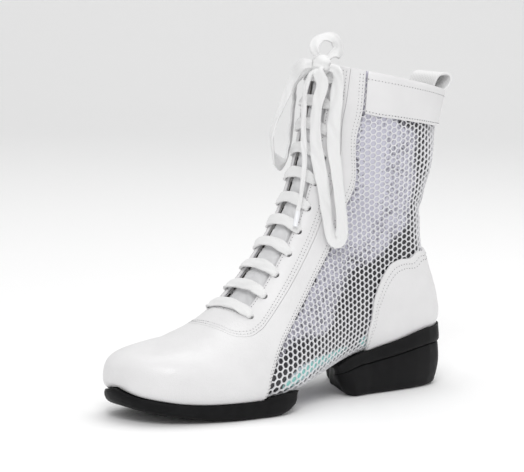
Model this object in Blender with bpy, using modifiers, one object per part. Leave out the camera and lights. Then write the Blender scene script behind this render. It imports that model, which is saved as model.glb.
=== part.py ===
"""Lace-up dance boot: a hollow upper on a split sole, one object for each piece.

Metres, +Z up. The toe points along -X, the outer side of the foot along -Y, and the origin lies on
the floor under the middle of the heel's tread. Every piece of the upper is taken from one skin, a
fan of sections that runs from the toe under the foot, round the heel and up the back of the shaft.
"""
import math
from collections import namedtuple

import bmesh
import bpy
import numpy as np
from mathutils import Vector

# Driving sizes
LENGTH = 0.251            # back of the heel to the tip of the toe
HEEL_TO_ORIGIN = 0.054    # back of the heel to the middle of the heel's tread
BALL_WIDTH = 0.0825       # widths of the wall, without the panels laid on it
HEEL_WIDTH = 0.0615
COLLAR_WIDTH = 0.074
INSTEP_HEIGHT = 0.0968
COLLAR_HEIGHT = 0.214     # front of the collar above the floor
BACK_HEIGHT = 0.1945      # back of the collar above the floor
HEEL_HEIGHT = 0.0318      # underside of the upper at the heel
BALL_HEIGHT = 0.0105      # underside of the upper at the ball

# Thicknesses and clearances
WALL = 0.0018             # lining and mesh together
LEATHER = 0.0013          # panels laid on the wall
CLEARANCE = 0.0007        # between curved pieces that touch
LACE_CLEARANCE = 0.0007   # under the bars, which lie flat over a rounded facing
TONGUE_CLEARANCE = 0.0015 # under the facing, which bends sharply over the instep
CRADLE_CLEARANCE = 0.0010 # between a panel and the rubber rim that stands round its edge
SEAT_CLEARANCE = 0.0009   # between the wall and the rubber under it
SEAM_GAP = 0.0007         # between the edges of two panels
TONGUE_THICKNESS = 0.0042
TONGUE_SINK = 0.0002      # how far the tongue's crown lies under the skin
INSOLE_THICKNESS = 0.0030
EYELET_DIAMETER = 0.0046
EYELET_PAIRS = 11
LACE_WIDTH = 0.0062
LACE_THICKNESS = 0.0013
LACE_DIP = 0.0012         # how far a bar sinks towards the tongue in the middle of the throat
CORD_DIAMETER = 0.0030    # rolled core of the lace in the bow
LOOP_WIDTH = 0.026        # webbing of the pull loop
LOOP_THICKNESS = 0.0016
LOOP_TAIL = 0.012         # how far the webbing runs down the collar

# Sections of the skin. low is the point under the foot or at the back, top the point on the front
# line. Their x is a share of LENGTH from the heel, their z a share of the size that is named, and
# sway a share of BALL_WIDTH towards the inner side.
Profile = namedtuple("Profile", "name low_x low_z low_of top_x top_z top_of sway")
PROFILES = [
    Profile("tip",      .993,  .298, "instep",  .993,  .298, "instep",  .106),
    Profile("nose",     .991,  1.92, "ball_z",  .989,  .369, "instep",  .106),
    Profile("toe",      .960,  1.56, "ball_z",  .948,  .423, "instep",  .082),
    Profile("box",      .878,  1.13, "ball_z",  .873,  .449, "instep",  .047),
    Profile("vamp",     .782,  1.00, "ball_z",  .786,  .495, "instep",  .012),
    Profile("ball",     .682,  .960, "ball_z",  .699,  .592, "instep", -.012),
    Profile("joint",    .583,  1.02, "ball_z",  .621,  .790, "instep", -.024),
    Profile("waist",    .483,  .450, "heel_z",  .551,  1.00, "instep", -.012),
    Profile("arch",     .385,  .660, "heel_z",  .501,  .534, "collar",  .000),
    Profile("shank",    .285,  .836, "heel_z",  .467,  .605, "collar",  .000),
    Profile("seat",     .186,  .918, "heel_z",  .448,  .676, "collar",  .000),
    Profile("heel",     .087,  1.00, "heel_z",  .434,  .732, "collar",  .000),
    Profile("corner",   .016,  1.08, "heel_z",  .426,  .775, "collar",  .000),
    Profile("counter",  .014,  .248, "back",    .419,  .807, "collar",  .000),
    Profile("bulge",    .073,  .390, "back",    .408,  .845, "collar",  .000),
    Profile("tendon",   .091,  .534, "back",    .401,  .879, "collar",  .000),
    Profile("ankle",    .071,  .679, "back",    .393,  .911, "collar",  .000),
    Profile("shaft",    .047,  .819, "back",    .386,  .949, "collar",  .000),
    Profile("collar",   .024,  .938, "back",    .379,  .977, "collar",  .000),
    Profile("rim",      .009,  1.00, "back",    .375,  1.00, "collar",  .000),
]
# Half widths on the outer and inner side as shares of the size that is named, then the outline of
# half a section: how far up it each corner lies and how far out, as shares of height and width.
Girth = namedtuple("Girth", "name lateral medial width_of floor edge_up edge_out "
                            "belly_up shoulder_up shoulder_out crown")
GIRTHS = [
    Girth("tip",     .000, .000, "ball",    .70,  .03,  1.0, .40, .85, .95, .55),
    Girth("nose",    .176, .176, "ball",    .70,  .03,  1.0, .40, .85, .95, .55),
    Girth("toe",     .330, .306, "ball",    .76,  .03,  1.0, .40, .85, .95, .55),
    Girth("box",     .435, .400, "ball",    .80,  .03,  1.0, .40, .84, .92, .50),
    Girth("vamp",    .482, .459, "ball",    .84,  .03,  1.0, .38, .82, .86, .44),
    Girth("ball",    .506, .494, "ball",    .84,  .03,  1.0, .34, .78, .78, .38),
    Girth("joint",   .494, .470, "ball",    .78,  .03,  1.0, .32, .76, .76, .36),
    Girth("waist",   .447, .424, "ball",    .66,  .04,  1.0, .32, .76, .76, .36),
    Girth("arch",    .400, .388, "ball",    .56,  .05,  .98, .32, .76, .78, .36),
    Girth("shank",   .500, .500, "heel",    .60,  .04,  .98, .30, .78, .80, .38),
    Girth("seat",    .500, .500, "heel",    .70,  .03,  .98, .28, .80, .80, .40),
    Girth("heel",    .500, .500, "heel",    .62,  .03,  .96, .28, .80, .80, .42),
    Girth("corner",  .500, .500, "heel",    .42,  .03,  .88, .26, .80, .80, .42),
    Girth("counter", .515, .515, "heel",    .42,  .05,  .86, .28, .80, .80, .42),
    Girth("bulge",   .515, .515, "heel",    .42,  .06,  .86, .30, .80, .82, .42),
    Girth("tendon",  .530, .530, "heel",    .42,  .07,  .86, .34, .80, .84, .42),
    Girth("ankle",   .474, .474, "collar",  .42,  .08,  .86, .38, .78, .86, .42),
    Girth("shaft",   .487, .487, "collar",  .42,  .10,  .86, .42, .78, .88, .42),
    Girth("collar",  .500, .500, "collar",  .42,  .12,  .86, .45, .80, .88, .42),
    Girth("rim",     .500, .500, "collar",  .42,  .12,  .86, .45, .80, .88, .42),
]
HEIGHTS = {"instep": INSTEP_HEIGHT, "collar": COLLAR_HEIGHT, "back": BACK_HEIGHT,
           "heel_z": HEEL_HEIGHT, "ball_z": BALL_HEIGHT}
WIDTHS = {"ball": BALL_WIDTH, "heel": HEEL_WIDTH, "collar": COLLAR_WIDTH}

# A place on the skin is (station, turn): the station runs from 0 at the toe's tip to RIM at the
# collar, and the turn from 0 on the line underneath to 4 on the front line.
DEGREE = 3
RIM = float(len(PROFILES) - DEGREE)
UNDER, FRONT = 0.0, 4.0
LOOP_POINTS = 7
BELLY_OUT = 1.06          # control point at the widest place, as a share of the half width

# Lines on the skin, each a row of (station, turn)
THROAT_END = 4.25
SEAM_LINE = [(3.44, 4.00), (3.47, 3.71), (3.61, 3.34), (3.99, 3.10), (4.43, 3.05), (4.94, 3.11),
             (6.00, 3.17), (7.40, 3.22), (10.1, 3.31), (13.6, 3.38), (RIM, 3.46)]
THROAT_LINE = [(THROAT_END, 4.00), (THROAT_END, 3.82), (4.32, 3.66), (4.60, 3.61), (5.20, 3.63),
               (5.90, 3.64), (6.80, 3.65), (7.90, 3.67), (10.3, 3.70), (13.6, 3.73), (RIM, 3.74)]
MESH_LINE = [(3.98, 0.60), (4.04, 1.10), (4.12, 1.62), (4.43, 2.21), (4.77, 2.46), (5.21, 2.61),
             (6.34, 2.79), (7.73, 2.89), (9.23, 3.00), (12.0, 3.06), (15.1, 3.09), (RIM, 3.17)]
EYELET_LINE = [(4.36, 3.44), (5.00, 3.49), (5.52, 3.53), (6.37, 3.52), (7.22, 3.55), (8.40, 3.57),
               (10.3, 3.59), (13.0, 3.62), (16.3, 3.64)]
COUNTER_LINE = [(7.94, 1.05), (8.05, 1.38), (8.35, 1.69), (8.65, 1.93), (9.03, 2.07), (9.57, 2.19),
                (10.29, 2.25), (11.24, 2.16), (12.3, 1.90), (13.0, 1.35), (13.45, 0.70), (13.62, 0.00)]
BAND_LINE = [(15.15, 3.08), (15.71, 2.47), (15.98, 1.98), (16.25, 1.02), (16.36, 0.00)]

# Where the soles meet the skin: station, turn of the rabbet's foot and turn of the sole's rim
Edge = namedtuple("Edge", "station foot rim")
FOREFOOT_EDGE = [Edge(*row) for row in [
    (0.20, .00, .00), (0.30, .16, .30), (0.50, .34, .56), (0.80, .44, .68), (1.30, .50, .76),
    (2.00, .54, .80), (3.00, .58, .84), (4.00, .60, .86), (4.60, .60, .86), (4.95, .56, .80),
    (5.15, .46, .68)]]
HEEL_EDGE = [Edge(*row) for row in [
    (6.80, .40, .62), (7.30, .46, .70), (8.00, .50, .76), (8.90, .56, .84), (9.70, .66, .94),
    (10.30, .68, .96), (10.80, .58, .84), (11.15, .40, .60), (11.38, .20, .32), (11.50, .00, .00)]]

# Side of each sole from its rim to its tread: share of the depth, and how far it stands out
Layer = namedtuple("Layer", "name depth side front back")
FOREFOOT_SIDE = [Layer(*row) for row in [
    ("rim",   0.00,  .0014,  .0012, .0000), ("upper", .30,  .0022,  .0016, .0002),
    ("lower", 0.70,  .0018,  .0014, .0002), ("tread", 1.0, -.0012, -.0012, .0000)]]
HEEL_SIDE = [Layer(*row) for row in [
    ("rim",      0.00,  .0014, .0010, .0014), ("band",   .24,  .0022, -.0020,  .0022),
    ("notch",    0.28,  .0004, -.0034, .0000), ("step",  .33,  .0020, -.0050,  .0010),
    ("belly",    0.62,  .0030, -.0090, .0012), ("tuck",  .88,  .0016, -.0120, -.0020),
    ("tread",    1.00, -.0014, -.0150, -.0100)]]

# Underside of the forefoot sole: share of LENGTH from the heel, and a share of BALL_HEIGHT
SPRING = [(.520, 1.00), (.558, .84), (.580, .52), (.605, .16), (.632, .00), (.765, .00),
          (.800, .08), (.853, .22), (.928, .50), (.975, .78), (1.00, 1.06), (1.03, 1.50)]

# How the upper's wall is divided
WALL_STATIONS = [0, .25, .6, 1.0, 1.5, 2.0, 2.6, 3.1, 3.5, 3.88, THROAT_END, 4.7, 5.35, 6.05, 6.8,
                 7.6, 8.4, 9.2, 10.0, 10.6, 11.0, 11.4, 11.8, 12.2, 12.6, 13.1, 13.6, 14.4, 15.2,
                 16.0, 16.6, RIM]
OPEN_TURN = .50           # half of the opening in the wall above each sole
WALL_TURNS = [.00, .26, OPEN_TURN, .64, .82, 1.15, 1.55, 2.0, 2.4, 2.8, 3.15, 3.42]
BREAST_SKEW = 1.6
TUCK = .65                # how far up the rabbet a panel's lower edge ends
BEND_COUNT, WING_COUNT = 9, 13   # places along the seam that the vamp and the eyestay share
BEND_SPREAD = (0, .11, .21, .26, .31, .38, .50, .72, 1)   # close together where the vamp's edge turns up
OPEN_STATIONS = [(0.60, 4.70), (8.4, 10.6)]

WHITE_LEATHER = (0.86, 0.86, 0.87)
WHITE_MESH = (0.62, 0.62, 0.66)
WHITE_CLOTH = (0.88, 0.88, 0.88)
BLACK_RUBBER = (0.012, 0.012, 0.013)
WARM_LINING = (0.74, 0.70, 0.64)


def weights(count, u):
    """Clamped uniform cubic spline weights: a row for each u, a column for each of count points."""
    spans = count - DEGREE
    knots = np.concatenate([np.zeros(DEGREE), np.arange(spans + 1), np.full(DEGREE, spans)])
    u = np.clip(np.asarray(u, float), 0, spans - 1e-9)
    rows = np.array([(u >= a) & (u < b) for a, b in zip(knots[:-1], knots[1:])], float).T
    for d in range(1, DEGREE + 1):
        wider = np.zeros((len(u), rows.shape[1] - 1))
        for k in range(rows.shape[1] - 1):
            rise = knots[k + d] - knots[k]
            fall = knots[k + d + 1] - knots[k + 1]
            if rise > 0:
                wider[:, k] += (u - knots[k]) / rise * rows[:, k]
            if fall > 0:
                wider[:, k] += (knots[k + d + 1] - u) / fall * rows[:, k + 1]
        rows = wider
    return rows


def x_at(share):
    """X of a place given as a share of the length from the back of the heel."""
    return HEEL_TO_ORIGIN - share * LENGTH


def section_points(profile, girth, side):
    """Control points of half a section, from the low point to the top point."""
    sway = profile.sway * BALL_WIDTH
    low = np.array([x_at(profile.low_x), sway, profile.low_z * HEIGHTS[profile.low_of]])
    top = np.array([x_at(profile.top_x), sway, profile.top_z * HEIGHTS[profile.top_of]])
    half = np.array([(0, 0), (0, girth.floor), (girth.edge_up, girth.edge_out),
                     (girth.belly_up, BELLY_OUT), (girth.shoulder_up, girth.shoulder_out),
                     (1, girth.crown), (1, 0)])
    widest = (weights(LOOP_POINTS, np.linspace(0, FRONT, 60)) @ half)[:, 1].max()
    share = girth.medial if side > 0 else girth.lateral
    width = share * WIDTHS[girth.width_of] / widest
    return [low + (top - low) * up + np.array([0, side * out * width, 0]) for up, out in half]


NET = {side: np.array([section_points(*rows, side) for rows in zip(PROFILES, GIRTHS)])
       for side in (-1, 1)}


def skin(side, station, turn):
    """Points of the skin; side is -1 for the outer half of the foot and 1 for the inner half."""
    station, turn = np.broadcast_arrays(np.asarray(station, float), np.asarray(turn, float))
    across = weights(len(PROFILES), station.ravel())
    around = weights(LOOP_POINTS, turn.ravel())
    points = np.einsum("ni,nj,ijk->nk", across, around, NET[side])
    return points.reshape(station.shape + (3,))


def normal(side, station, turn, step=1e-3, pole=0.06):
    """Outward unit normals of the skin; at the toe's tip, where a section shrinks to a point, -X."""
    station, turn = np.broadcast_arrays(np.asarray(station, float), np.asarray(turn, float))
    near = np.clip(station, pole, RIM - step)
    turned = np.clip(turn, step, FRONT - step)
    along = skin(side, near + step, turned) - skin(side, near - step, turned)
    up = skin(side, near, turned + step) - skin(side, near, turned - step)
    out = np.cross(along, up) * -side
    out /= np.linalg.norm(out, axis=-1, keepdims=True)
    on_centre = (turn <= 0) | (turn >= FRONT)
    out[..., 1] = np.where(on_centre, 0.0, out[..., 1])
    out = np.where((station < pole)[..., None], np.array([-1.0, 0, 0]), out)
    return out / np.linalg.norm(out, axis=-1, keepdims=True)


def lifted(side, station, turn, height):
    """Points at a height above the skin."""
    return skin(side, station, turn) + normal(side, station, turn) * np.asarray(height)[..., None]


def trace(rows, count, spread=None):
    """count places along a line of (station, turn) rows, on a smooth curve through them."""
    rows = np.array(rows, float)
    gaps = np.linalg.norm(np.diff(skin(-1, rows[:, 0], rows[:, 1]), axis=0), axis=1)
    reach = np.concatenate([[0], np.cumsum(gaps)])
    at = np.linspace(0, 1, count) if spread is None else np.asarray(spread)
    at = at * reach[-1]
    slopes = np.gradient(rows, reach, axis=0)
    k = np.clip(np.searchsorted(reach, at, side="right") - 1, 0, len(rows) - 2)
    span = (reach[k + 1] - reach[k])[:, None]
    f = ((at - reach[k]) / span[:, 0])[:, None]
    a, b = rows[k], rows[k + 1]
    ta, tb = slopes[k] * span, slopes[k + 1] * span
    return ((2 * f ** 3 - 3 * f ** 2 + 1) * a + (f ** 3 - 2 * f ** 2 + f) * ta
            + (3 * f ** 2 - 2 * f ** 3) * b + (f ** 3 - f ** 2) * tb)


def between(side, first, second, count, first_gap=0.0, second_gap=0.0):
    """Places on straight runs from each place of first to its place of second, less the gaps."""
    share = np.linspace(0, 1, count)
    rows = []
    for a, b in zip(first, second):
        line = a + (b - a) * share[:, None]
        points = skin(side, line[:, 0], line[:, 1])
        length = np.linalg.norm(np.diff(points, axis=0), axis=1).sum()
        lo, hi = first_gap / max(length, 1e-6), 1 - second_gap / max(length, 1e-6)
        rows.append(a + (b - a) * (lo + (hi - lo) * share)[:, None])
    return np.array(rows)


def material(name, colour, roughness, metallic=0.0):
    finish = bpy.data.materials.new(name)
    finish.use_nodes = True
    shader = finish.node_tree.nodes["Principled BSDF"]
    shader.inputs["Base Color"].default_value = (*colour, 1.0)
    shader.inputs["Roughness"].default_value = roughness
    shader.inputs["Metallic"].default_value = metallic
    return finish


def new_collection(name):
    collection = bpy.data.collections.new(name)
    bpy.context.scene.collection.children.link(collection)
    return collection


def add_object(name, mesh_or_bmesh, collection, finish=None):
    """Make an object from a mesh, or from a bmesh that is used up."""
    mesh = mesh_or_bmesh
    if isinstance(mesh, bmesh.types.BMesh):
        mesh = bpy.data.meshes.new(name)
        mesh_or_bmesh.to_mesh(mesh)
        mesh_or_bmesh.free()
    mesh.shade_smooth()
    mesh.set_sharp_from_angle(angle=math.radians(40))
    obj = bpy.data.objects.new(name, mesh)
    collection.objects.link(obj)
    if finish:
        mesh.materials.append(finish)
    return obj


def sheet(grids, flips, keep=None):
    """An open surface of quads from grids of points; grids that share an edge are welded."""
    bm = bmesh.new()
    for grid, flip in zip(grids, flips):
        vertices = [[bm.verts.new(point) for point in row] for row in grid]
        for i in range(len(grid) - 1):
            for j in range(len(grid[0]) - 1):
                if keep and not keep(i, j):
                    continue
                corners = [vertices[i][j], vertices[i + 1][j], vertices[i + 1][j + 1], vertices[i][j + 1]]
                bm.faces.new(corners[::-1] if flip else corners)
    loose = [v for v in bm.verts if not v.link_faces]
    bmesh.ops.delete(bm, geom=loose, context="VERTS")
    bmesh.ops.remove_doubles(bm, verts=bm.verts, dist=2e-5)
    bmesh.ops.dissolve_degenerate(bm, edges=bm.edges, dist=1e-6)
    return bm


def thicken(obj, thickness, outward):
    """Give an open surface its thickness, on the side that outward tells."""
    shell = obj.modifiers.new("Thickness", "SOLIDIFY")
    shell.thickness = thickness
    shell.offset = 1.0 if outward else -1.0
    shell.use_even_offset = True
    shell.use_quality_normals = True


def winds_in(grid, side, station, turn):
    """True where a grid's own order of rows and columns gives faces that point into the boot."""
    i, j = len(grid) // 2, len(grid[0]) // 2
    across = np.cross(grid[i][j] - grid[i - 1][j], grid[i][j] - grid[i][j - 1])
    return float(across @ normal(side, station[i, j], turn[i, j])) < 0


def panel(name, places, height, thickness, collection, finish):
    """A shell on both halves of the skin over a grid of places, from height outward."""
    grids, flips = [], []
    for side in (-1, 1):
        station, turn = places[side][..., 0], places[side][..., 1]
        grid = lifted(side, station, turn, np.full(station.shape, height))
        grids.append(grid)
        flips.append(winds_in(grid, side, station, turn))
    obj = add_object(name, sheet(grids, flips), collection, finish)
    thicken(obj, thickness, True)
    return obj


def make_upper(parts, finish):
    """Hollow wall of the boot: open at the collar, down the throat and above both soles."""
    throat = np.array(THROAT_LINE)
    edge = np.interp(WALL_STATIONS, throat[3:, 0], throat[3:, 1])
    turns = np.array([WALL_TURNS + [e, (e + FRONT) / 2, FRONT] for e in edge])
    stations = np.repeat(np.array(WALL_STATIONS, float)[:, None], turns.shape[1], axis=1)
    edge_column = len(WALL_TURNS)
    open_column = WALL_TURNS.index(OPEN_TURN)

    def keep(i, j):
        start = WALL_STATIONS[i]
        in_throat = j >= edge_column and start >= THROAT_END
        under = j < open_column and any(a <= start < b for a, b in OPEN_STATIONS)
        return not in_throat and not under

    grids = [skin(side, stations, turns) for side in (-1, 1)]
    bm = sheet(grids, (False, True), keep)
    obj = add_object("upper", bm, parts, finish)
    thicken(obj, WALL, False)
    return obj


def foot_turn(edge_rows, station, share):
    """Turn of a place in a sole's rabbet, from its foot (share 0) to its rim (share 1)."""
    rows = np.array(edge_rows)
    return np.interp(station, rows[:, 0], rows[:, 1] + (rows[:, 2] - rows[:, 1]) * share)


def make_vamp(parts, finish):
    """Leather over the toe, with a wing up each side of the eyestay to the collar."""
    toe_counts, across = 9, 13
    toe_line = [(0.0, FRONT), (SEAM_LINE[0][0], FRONT)]
    toe_foot = [(row.station, row.foot) for row in FOREFOOT_EDGE if row.station < 3.5]
    upper_toe = trace(toe_line, toe_counts, np.linspace(0, 1, toe_counts) ** 1.3)
    upper_toe[0, 1] = UNDER
    upper_bend = trace(SEAM_LINE[:5], BEND_COUNT)
    upper_wing = trace(SEAM_LINE[4:], WING_COUNT)
    foot_end = (3.30, foot_turn(FOREFOOT_EDGE, 3.30, TUCK))
    lower_toe = trace(toe_foot + [foot_end], toe_counts, np.linspace(0, 1, toe_counts) ** 1.2)
    lower_toe[:, 1] = foot_turn(FOREFOOT_EDGE, lower_toe[:, 0], TUCK)
    corner = (MESH_LINE[0][0], foot_turn(FOREFOOT_EDGE, MESH_LINE[0][0], TUCK))
    lower_bend = trace([foot_end, corner, *MESH_LINE[1:4]], BEND_COUNT, BEND_SPREAD)
    lower_wing = trace(MESH_LINE[3:], WING_COUNT)
    upper = np.concatenate([upper_toe, upper_bend[1:], upper_wing[1:]])
    lower = np.concatenate([lower_toe, lower_bend[1:], lower_wing[1:]])
    places = {}
    for side in (-1, 1):
        grid = between(side, lower, upper, across, SEAM_GAP, SEAM_GAP)
        grid[1:toe_counts, -1] = upper[1:toe_counts]
        grid[0, -1] = upper[0]
        places[side] = grid
    return panel("vamp", places, CLEARANCE, LEATHER, parts, finish)


def make_eyestay(parts, finish):
    """Facing round the throat, drawn like a horseshoe, with a row of lace holes in each side."""
    across = 5
    outer = np.concatenate([trace(SEAM_LINE[:5], BEND_COUNT), trace(SEAM_LINE[4:], WING_COUNT)[1:]])
    inner = np.concatenate([trace(THROAT_LINE[:4], BEND_COUNT), trace(THROAT_LINE[3:], WING_COUNT)[1:]])
    places = {side: between(side, outer, inner, across, SEAM_GAP / 2, 0.0) for side in (-1, 1)}
    return panel("eyestay", places, CLEARANCE, LEATHER, parts, finish)


def make_counter(parts, finish):
    """Leather cap round the heel, from the heel unit's rim to its curved top edge."""
    count, across = 19, 8
    foot = [(row.station, row.foot) for row in HEEL_EDGE if row.station > 7.9]
    first = (COUNTER_LINE[0][0], foot_turn(HEEL_EDGE, COUNTER_LINE[0][0], TUCK))
    spread = np.linspace(0, 1, count) ** 0.9
    lower = trace([first, *foot], count, spread)
    lower[:, 1] = foot_turn(HEEL_EDGE, lower[:, 0], TUCK)
    upper = trace(COUNTER_LINE, count, spread)
    places = {side: between(side, lower, upper, across, SEAM_GAP, 0.0) for side in (-1, 1)}
    return panel("heel_counter", places, CLEARANCE, LEATHER, parts, finish)


def make_band(parts, finish):
    """Leather band round the back of the collar, between the two wings of the vamp."""
    count, across = 12, 4
    lower = trace(BAND_LINE, count)
    rim = trace([(RIM, MESH_LINE[-1][1]), (RIM, UNDER)], count)
    for line in (lower, rim):
        length = np.linalg.norm(skin(-1, *line[1]) - skin(-1, *line[0]))
        line[0] += (line[1] - line[0]) * SEAM_GAP / length
    places = {side: between(side, lower, rim, across) for side in (-1, 1)}
    return panel("collar_band", places, CLEARANCE, LEATHER, parts, finish)


def make_tongue(parts, finish):
    """Padded strip behind the throat, crowned where it shows between the two rows of holes."""
    stations = np.array([3.70, 4.10, 4.6, 5.2, 5.9, 6.7, 7.6, 8.7, 10.0, 11.4, 12.8, 14.2, 15.6, RIM])
    shares = np.linspace(0, 1, 6)
    throat = np.array(THROAT_LINE)[3:]
    edge = np.interp(stations, throat[:, 0], throat[:, 1])
    outer = edge - 0.42
    buried = -(WALL + TONGUE_CLEARANCE)
    grids = []
    for side in (-1, 1):
        turns = outer[:, None] + (FRONT - outer[:, None]) * shares
        crown = np.clip((turns - edge[:, None]) / (FRONT - edge[:, None]), 0, 1)
        opened = np.clip((stations - THROAT_END - .1) / .8, 0, 1)[:, None]
        rise = (3 * crown ** 2 - 2 * crown ** 3) * opened
        height = buried + (-TONGUE_SINK - buried) * rise
        grids.append(lifted(side, np.repeat(stations[:, None], len(shares), 1), turns, height))
    obj = add_object("tongue", sheet(grids, (False, True)), parts, finish)
    thicken(obj, TONGUE_THICKNESS, False)
    return obj


def make_insole(parts, finish):
    """Footbed on the floor of the upper, from the toe box to the heel."""
    stations = np.array([0.75, 1.1, 1.7, 2.7, 3.7, 4.8, 5.9, 7.0, 8.1, 9.2, 10.1, 10.6])
    reach = np.array([.30, .42, .50, .56, .58, .58, .52, .48, .50, .50, .40, .24])
    turns = reach[:, None] * np.linspace(0, 1, 4)
    height = np.full(turns.shape, -(WALL + CLEARANCE))
    along = np.repeat(stations[:, None], turns.shape[1], 1)
    grids = [lifted(side, along, turns, height) for side in (-1, 1)]
    obj = add_object("insole", sheet(grids, (False, True)), parts, finish)
    thicken(obj, INSOLE_THICKNESS, False)
    return obj


def spring_height(x):
    """Height of the forefoot sole's underside at x."""
    share = (HEEL_TO_ORIGIN - x) / LENGTH
    rows = np.array(SPRING)
    return np.interp(share, rows[:, 0], rows[:, 1]) * BALL_HEIGHT


def no_skew(station):
    return 0.0


def breast_skew(station):
    """How many stations further back the inner side of the heel unit lies than its outer side."""
    first, last = HEEL_EDGE[0].station, HEEL_EDGE[-1].station
    return BREAST_SKEW * (last - station) / (last - first)


def sole_ring(edge_rows, layers, station, columns, under, skew):
    """One closed ring round a sole: over its top, down the inner side, back under it and up."""
    halves = {}
    ledge = CLEARANCE + LEATHER + CRADLE_CLEARANCE
    for side in (-1, 1):
        at_edge = station + skew(station) * (1 + side) / 2
        foot = foot_turn(edge_rows, at_edge, 0)
        rim = foot_turn(edge_rows, at_edge, 1)
        share = np.concatenate([np.linspace(0, 1, columns), [1, 1]])
        turns = np.concatenate([foot * share[:-1], [rim]])
        places = station + skew(station) * (1 + side * share) / 2
        heights = np.concatenate([np.full(columns, SEAT_CLEARANCE), [ledge, ledge]])
        top = lifted(side, places, turns, heights)
        step = 0.02
        ends = np.clip([at_edge - step, at_edge + step], edge_rows[0].station, edge_rows[-1].station)
        rims = [skin(side, s, foot_turn(edge_rows, s, 1)) for s in ends]
        run = (rims[1] - rims[0])[:2]
        if rim == 0:
            run = np.array([0.0, side * (1 if station < 5 else -1)])
        out = np.array([run[1], -run[0]]) * -side
        out = out / np.linalg.norm(out)
        out = out if rim else np.array([-1.0 if station < 5 else 1.0, 0])
        edge = top[-1]
        chain = []
        for layer in layers:
            ahead, behind = max(-out[0], 0) ** 2, max(out[0], 0) ** 2
            spread = layer.side * (1 - ahead - behind) + layer.front * ahead + layer.back * behind
            x, y = edge[:2] + out * spread
            z = edge[2] * (1 - layer.depth) + under(x) * layer.depth
            chain.append((x, y, z))
        halves[side] = (list(top), chain)
    lateral, medial = halves[-1], halves[1]
    first, last = np.array(lateral[1][-1]), np.array(medial[1][-1])
    floor = [last + (first - last) * share for share in np.linspace(0, 1, 2 * columns + 1)[1:-1]]
    floor = [(x, y, under(x)) for x, y, z in floor]
    return ([tuple(p) for p in lateral[0][::-1]] + [tuple(p) for p in medial[0][1:]]
            + medial[1] + floor + lateral[1][::-1])


def make_sole(name, edge_rows, layers, stations, under, slant, skew, parts, finish):
    """Loft rings from one end of a sole to the other and close its open end."""
    columns = 4
    rings = []
    for station in stations:
        ring = np.array(sole_ring(edge_rows, layers, station, columns, under, skew))
        rings.append(slant(ring))
    bm = bmesh.new()
    vertices = [[bm.verts.new(p) for p in ring] for ring in rings]
    size = len(vertices[0])
    for a, b in zip(vertices, vertices[1:]):
        for k in range(size):
            bm.faces.new((a[k], a[(k + 1) % size], b[(k + 1) % size], b[k]))
    open_ring = vertices[-1] if edge_rows[0].rim == 0 else vertices[0]
    bm.faces.new(open_ring)
    bmesh.ops.remove_doubles(bm, verts=bm.verts, dist=2e-5)
    bmesh.ops.dissolve_degenerate(bm, edges=bm.edges, dist=1e-6)
    bmesh.ops.recalc_face_normals(bm, faces=bm.faces)
    return add_object(name, bm, parts, finish)


def make_forefoot_sole(parts, finish):
    stations = [.20, .30, .42, .60, .85, 1.2, 1.7, 2.3, 3.0, 3.7, 4.2, 4.6, 4.82, 5.0, 5.15]
    return make_sole("forefoot_sole", FOREFOOT_EDGE, FOREFOOT_SIDE, stations, spring_height,
                     lambda ring: ring, no_skew, parts, finish)


def make_heel_unit(parts, finish):
    """Cupped heel with a notch under its band and a breast that leans back towards the tread."""
    stations = [6.80, 7.05, 7.5, 8.0, 8.5, 8.9, 9.3, 9.7, 10.0, 10.3, 10.8, 11.15, 11.38, 11.50]
    breast = x_at(.43)
    fade = 0.15 * LENGTH
    lean = 0.066 * LENGTH
    inner_lean = 0.046 * LENGTH

    def slant(ring):
        """Draw the front of the block back, the more so the nearer a point is to the floor."""
        ring = ring.copy()
        near = np.clip(1 - (ring[:, 0] - breast) / fade, 0, 1)
        low = np.clip(1 - ring[:, 2] / (0.85 * HEEL_HEIGHT), 0, 1)
        inner = np.clip(0.5 + ring[:, 1] / HEEL_WIDTH * 1.4, 0, 1)
        ring[:, 0] += near * (lean * low + inner_lean * inner * np.sqrt(low))
        return ring

    return make_sole("heel_unit", HEEL_EDGE, HEEL_SIDE, stations, lambda x: 0.0 * x, slant,
                     breast_skew, parts, finish)


def make_holes(cutters, stack):
    """Round cutters through the wall and the facing, one for each lace hole."""
    bm = bmesh.new()
    for side in (-1, 1):
        for station, turn in trace(EYELET_LINE, EYELET_PAIRS):
            axis = Vector(normal(side, station, turn))
            turn_to = axis.to_track_quat("Z", "Y").to_matrix().to_4x4()
            turn_to.translation = Vector(skin(side, station, turn))
            bmesh.ops.create_cone(bm, cap_ends=True, segments=6, radius1=EYELET_DIAMETER / 2,
                                  radius2=EYELET_DIAMETER / 2, depth=0.012, matrix=turn_to)
    cutter = add_object("lace_hole_cutter", bm, cutters)
    cutter.display_type = "WIRE"
    cutter.hide_render = True
    for obj in stack:
        cut = obj.modifiers.new("Lace holes", "BOOLEAN")
        cut.operation = "DIFFERENCE"
        cut.object = cutter
    return cutter


def flat_strap(name, centre, across, lift, width, thickness, parts, finish):
    """A flat strap swept along centre, with its width along across and its thickness along lift."""
    bm = bmesh.new()
    rings = []
    for p, a, n in zip(centre, across, lift):
        corners = [p + a * width / 2 * u + n * thickness / 2 * w
                   for u, w in ((1, 1), (-1, 1), (-1, -1), (1, -1))]
        rings.append([bm.verts.new(c) for c in corners])
    for a, b in zip(rings, rings[1:]):
        for k in range(4):
            bm.faces.new((a[k], a[(k + 1) % 4], b[(k + 1) % 4], b[k]))
    bm.faces.new(rings[0])
    bm.faces.new(rings[-1][::-1])
    bmesh.ops.recalc_face_normals(bm, faces=bm.faces)
    return add_object(name, bm, parts, finish)


def unit(v):
    return v / np.linalg.norm(v, axis=-1, keepdims=True)


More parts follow.
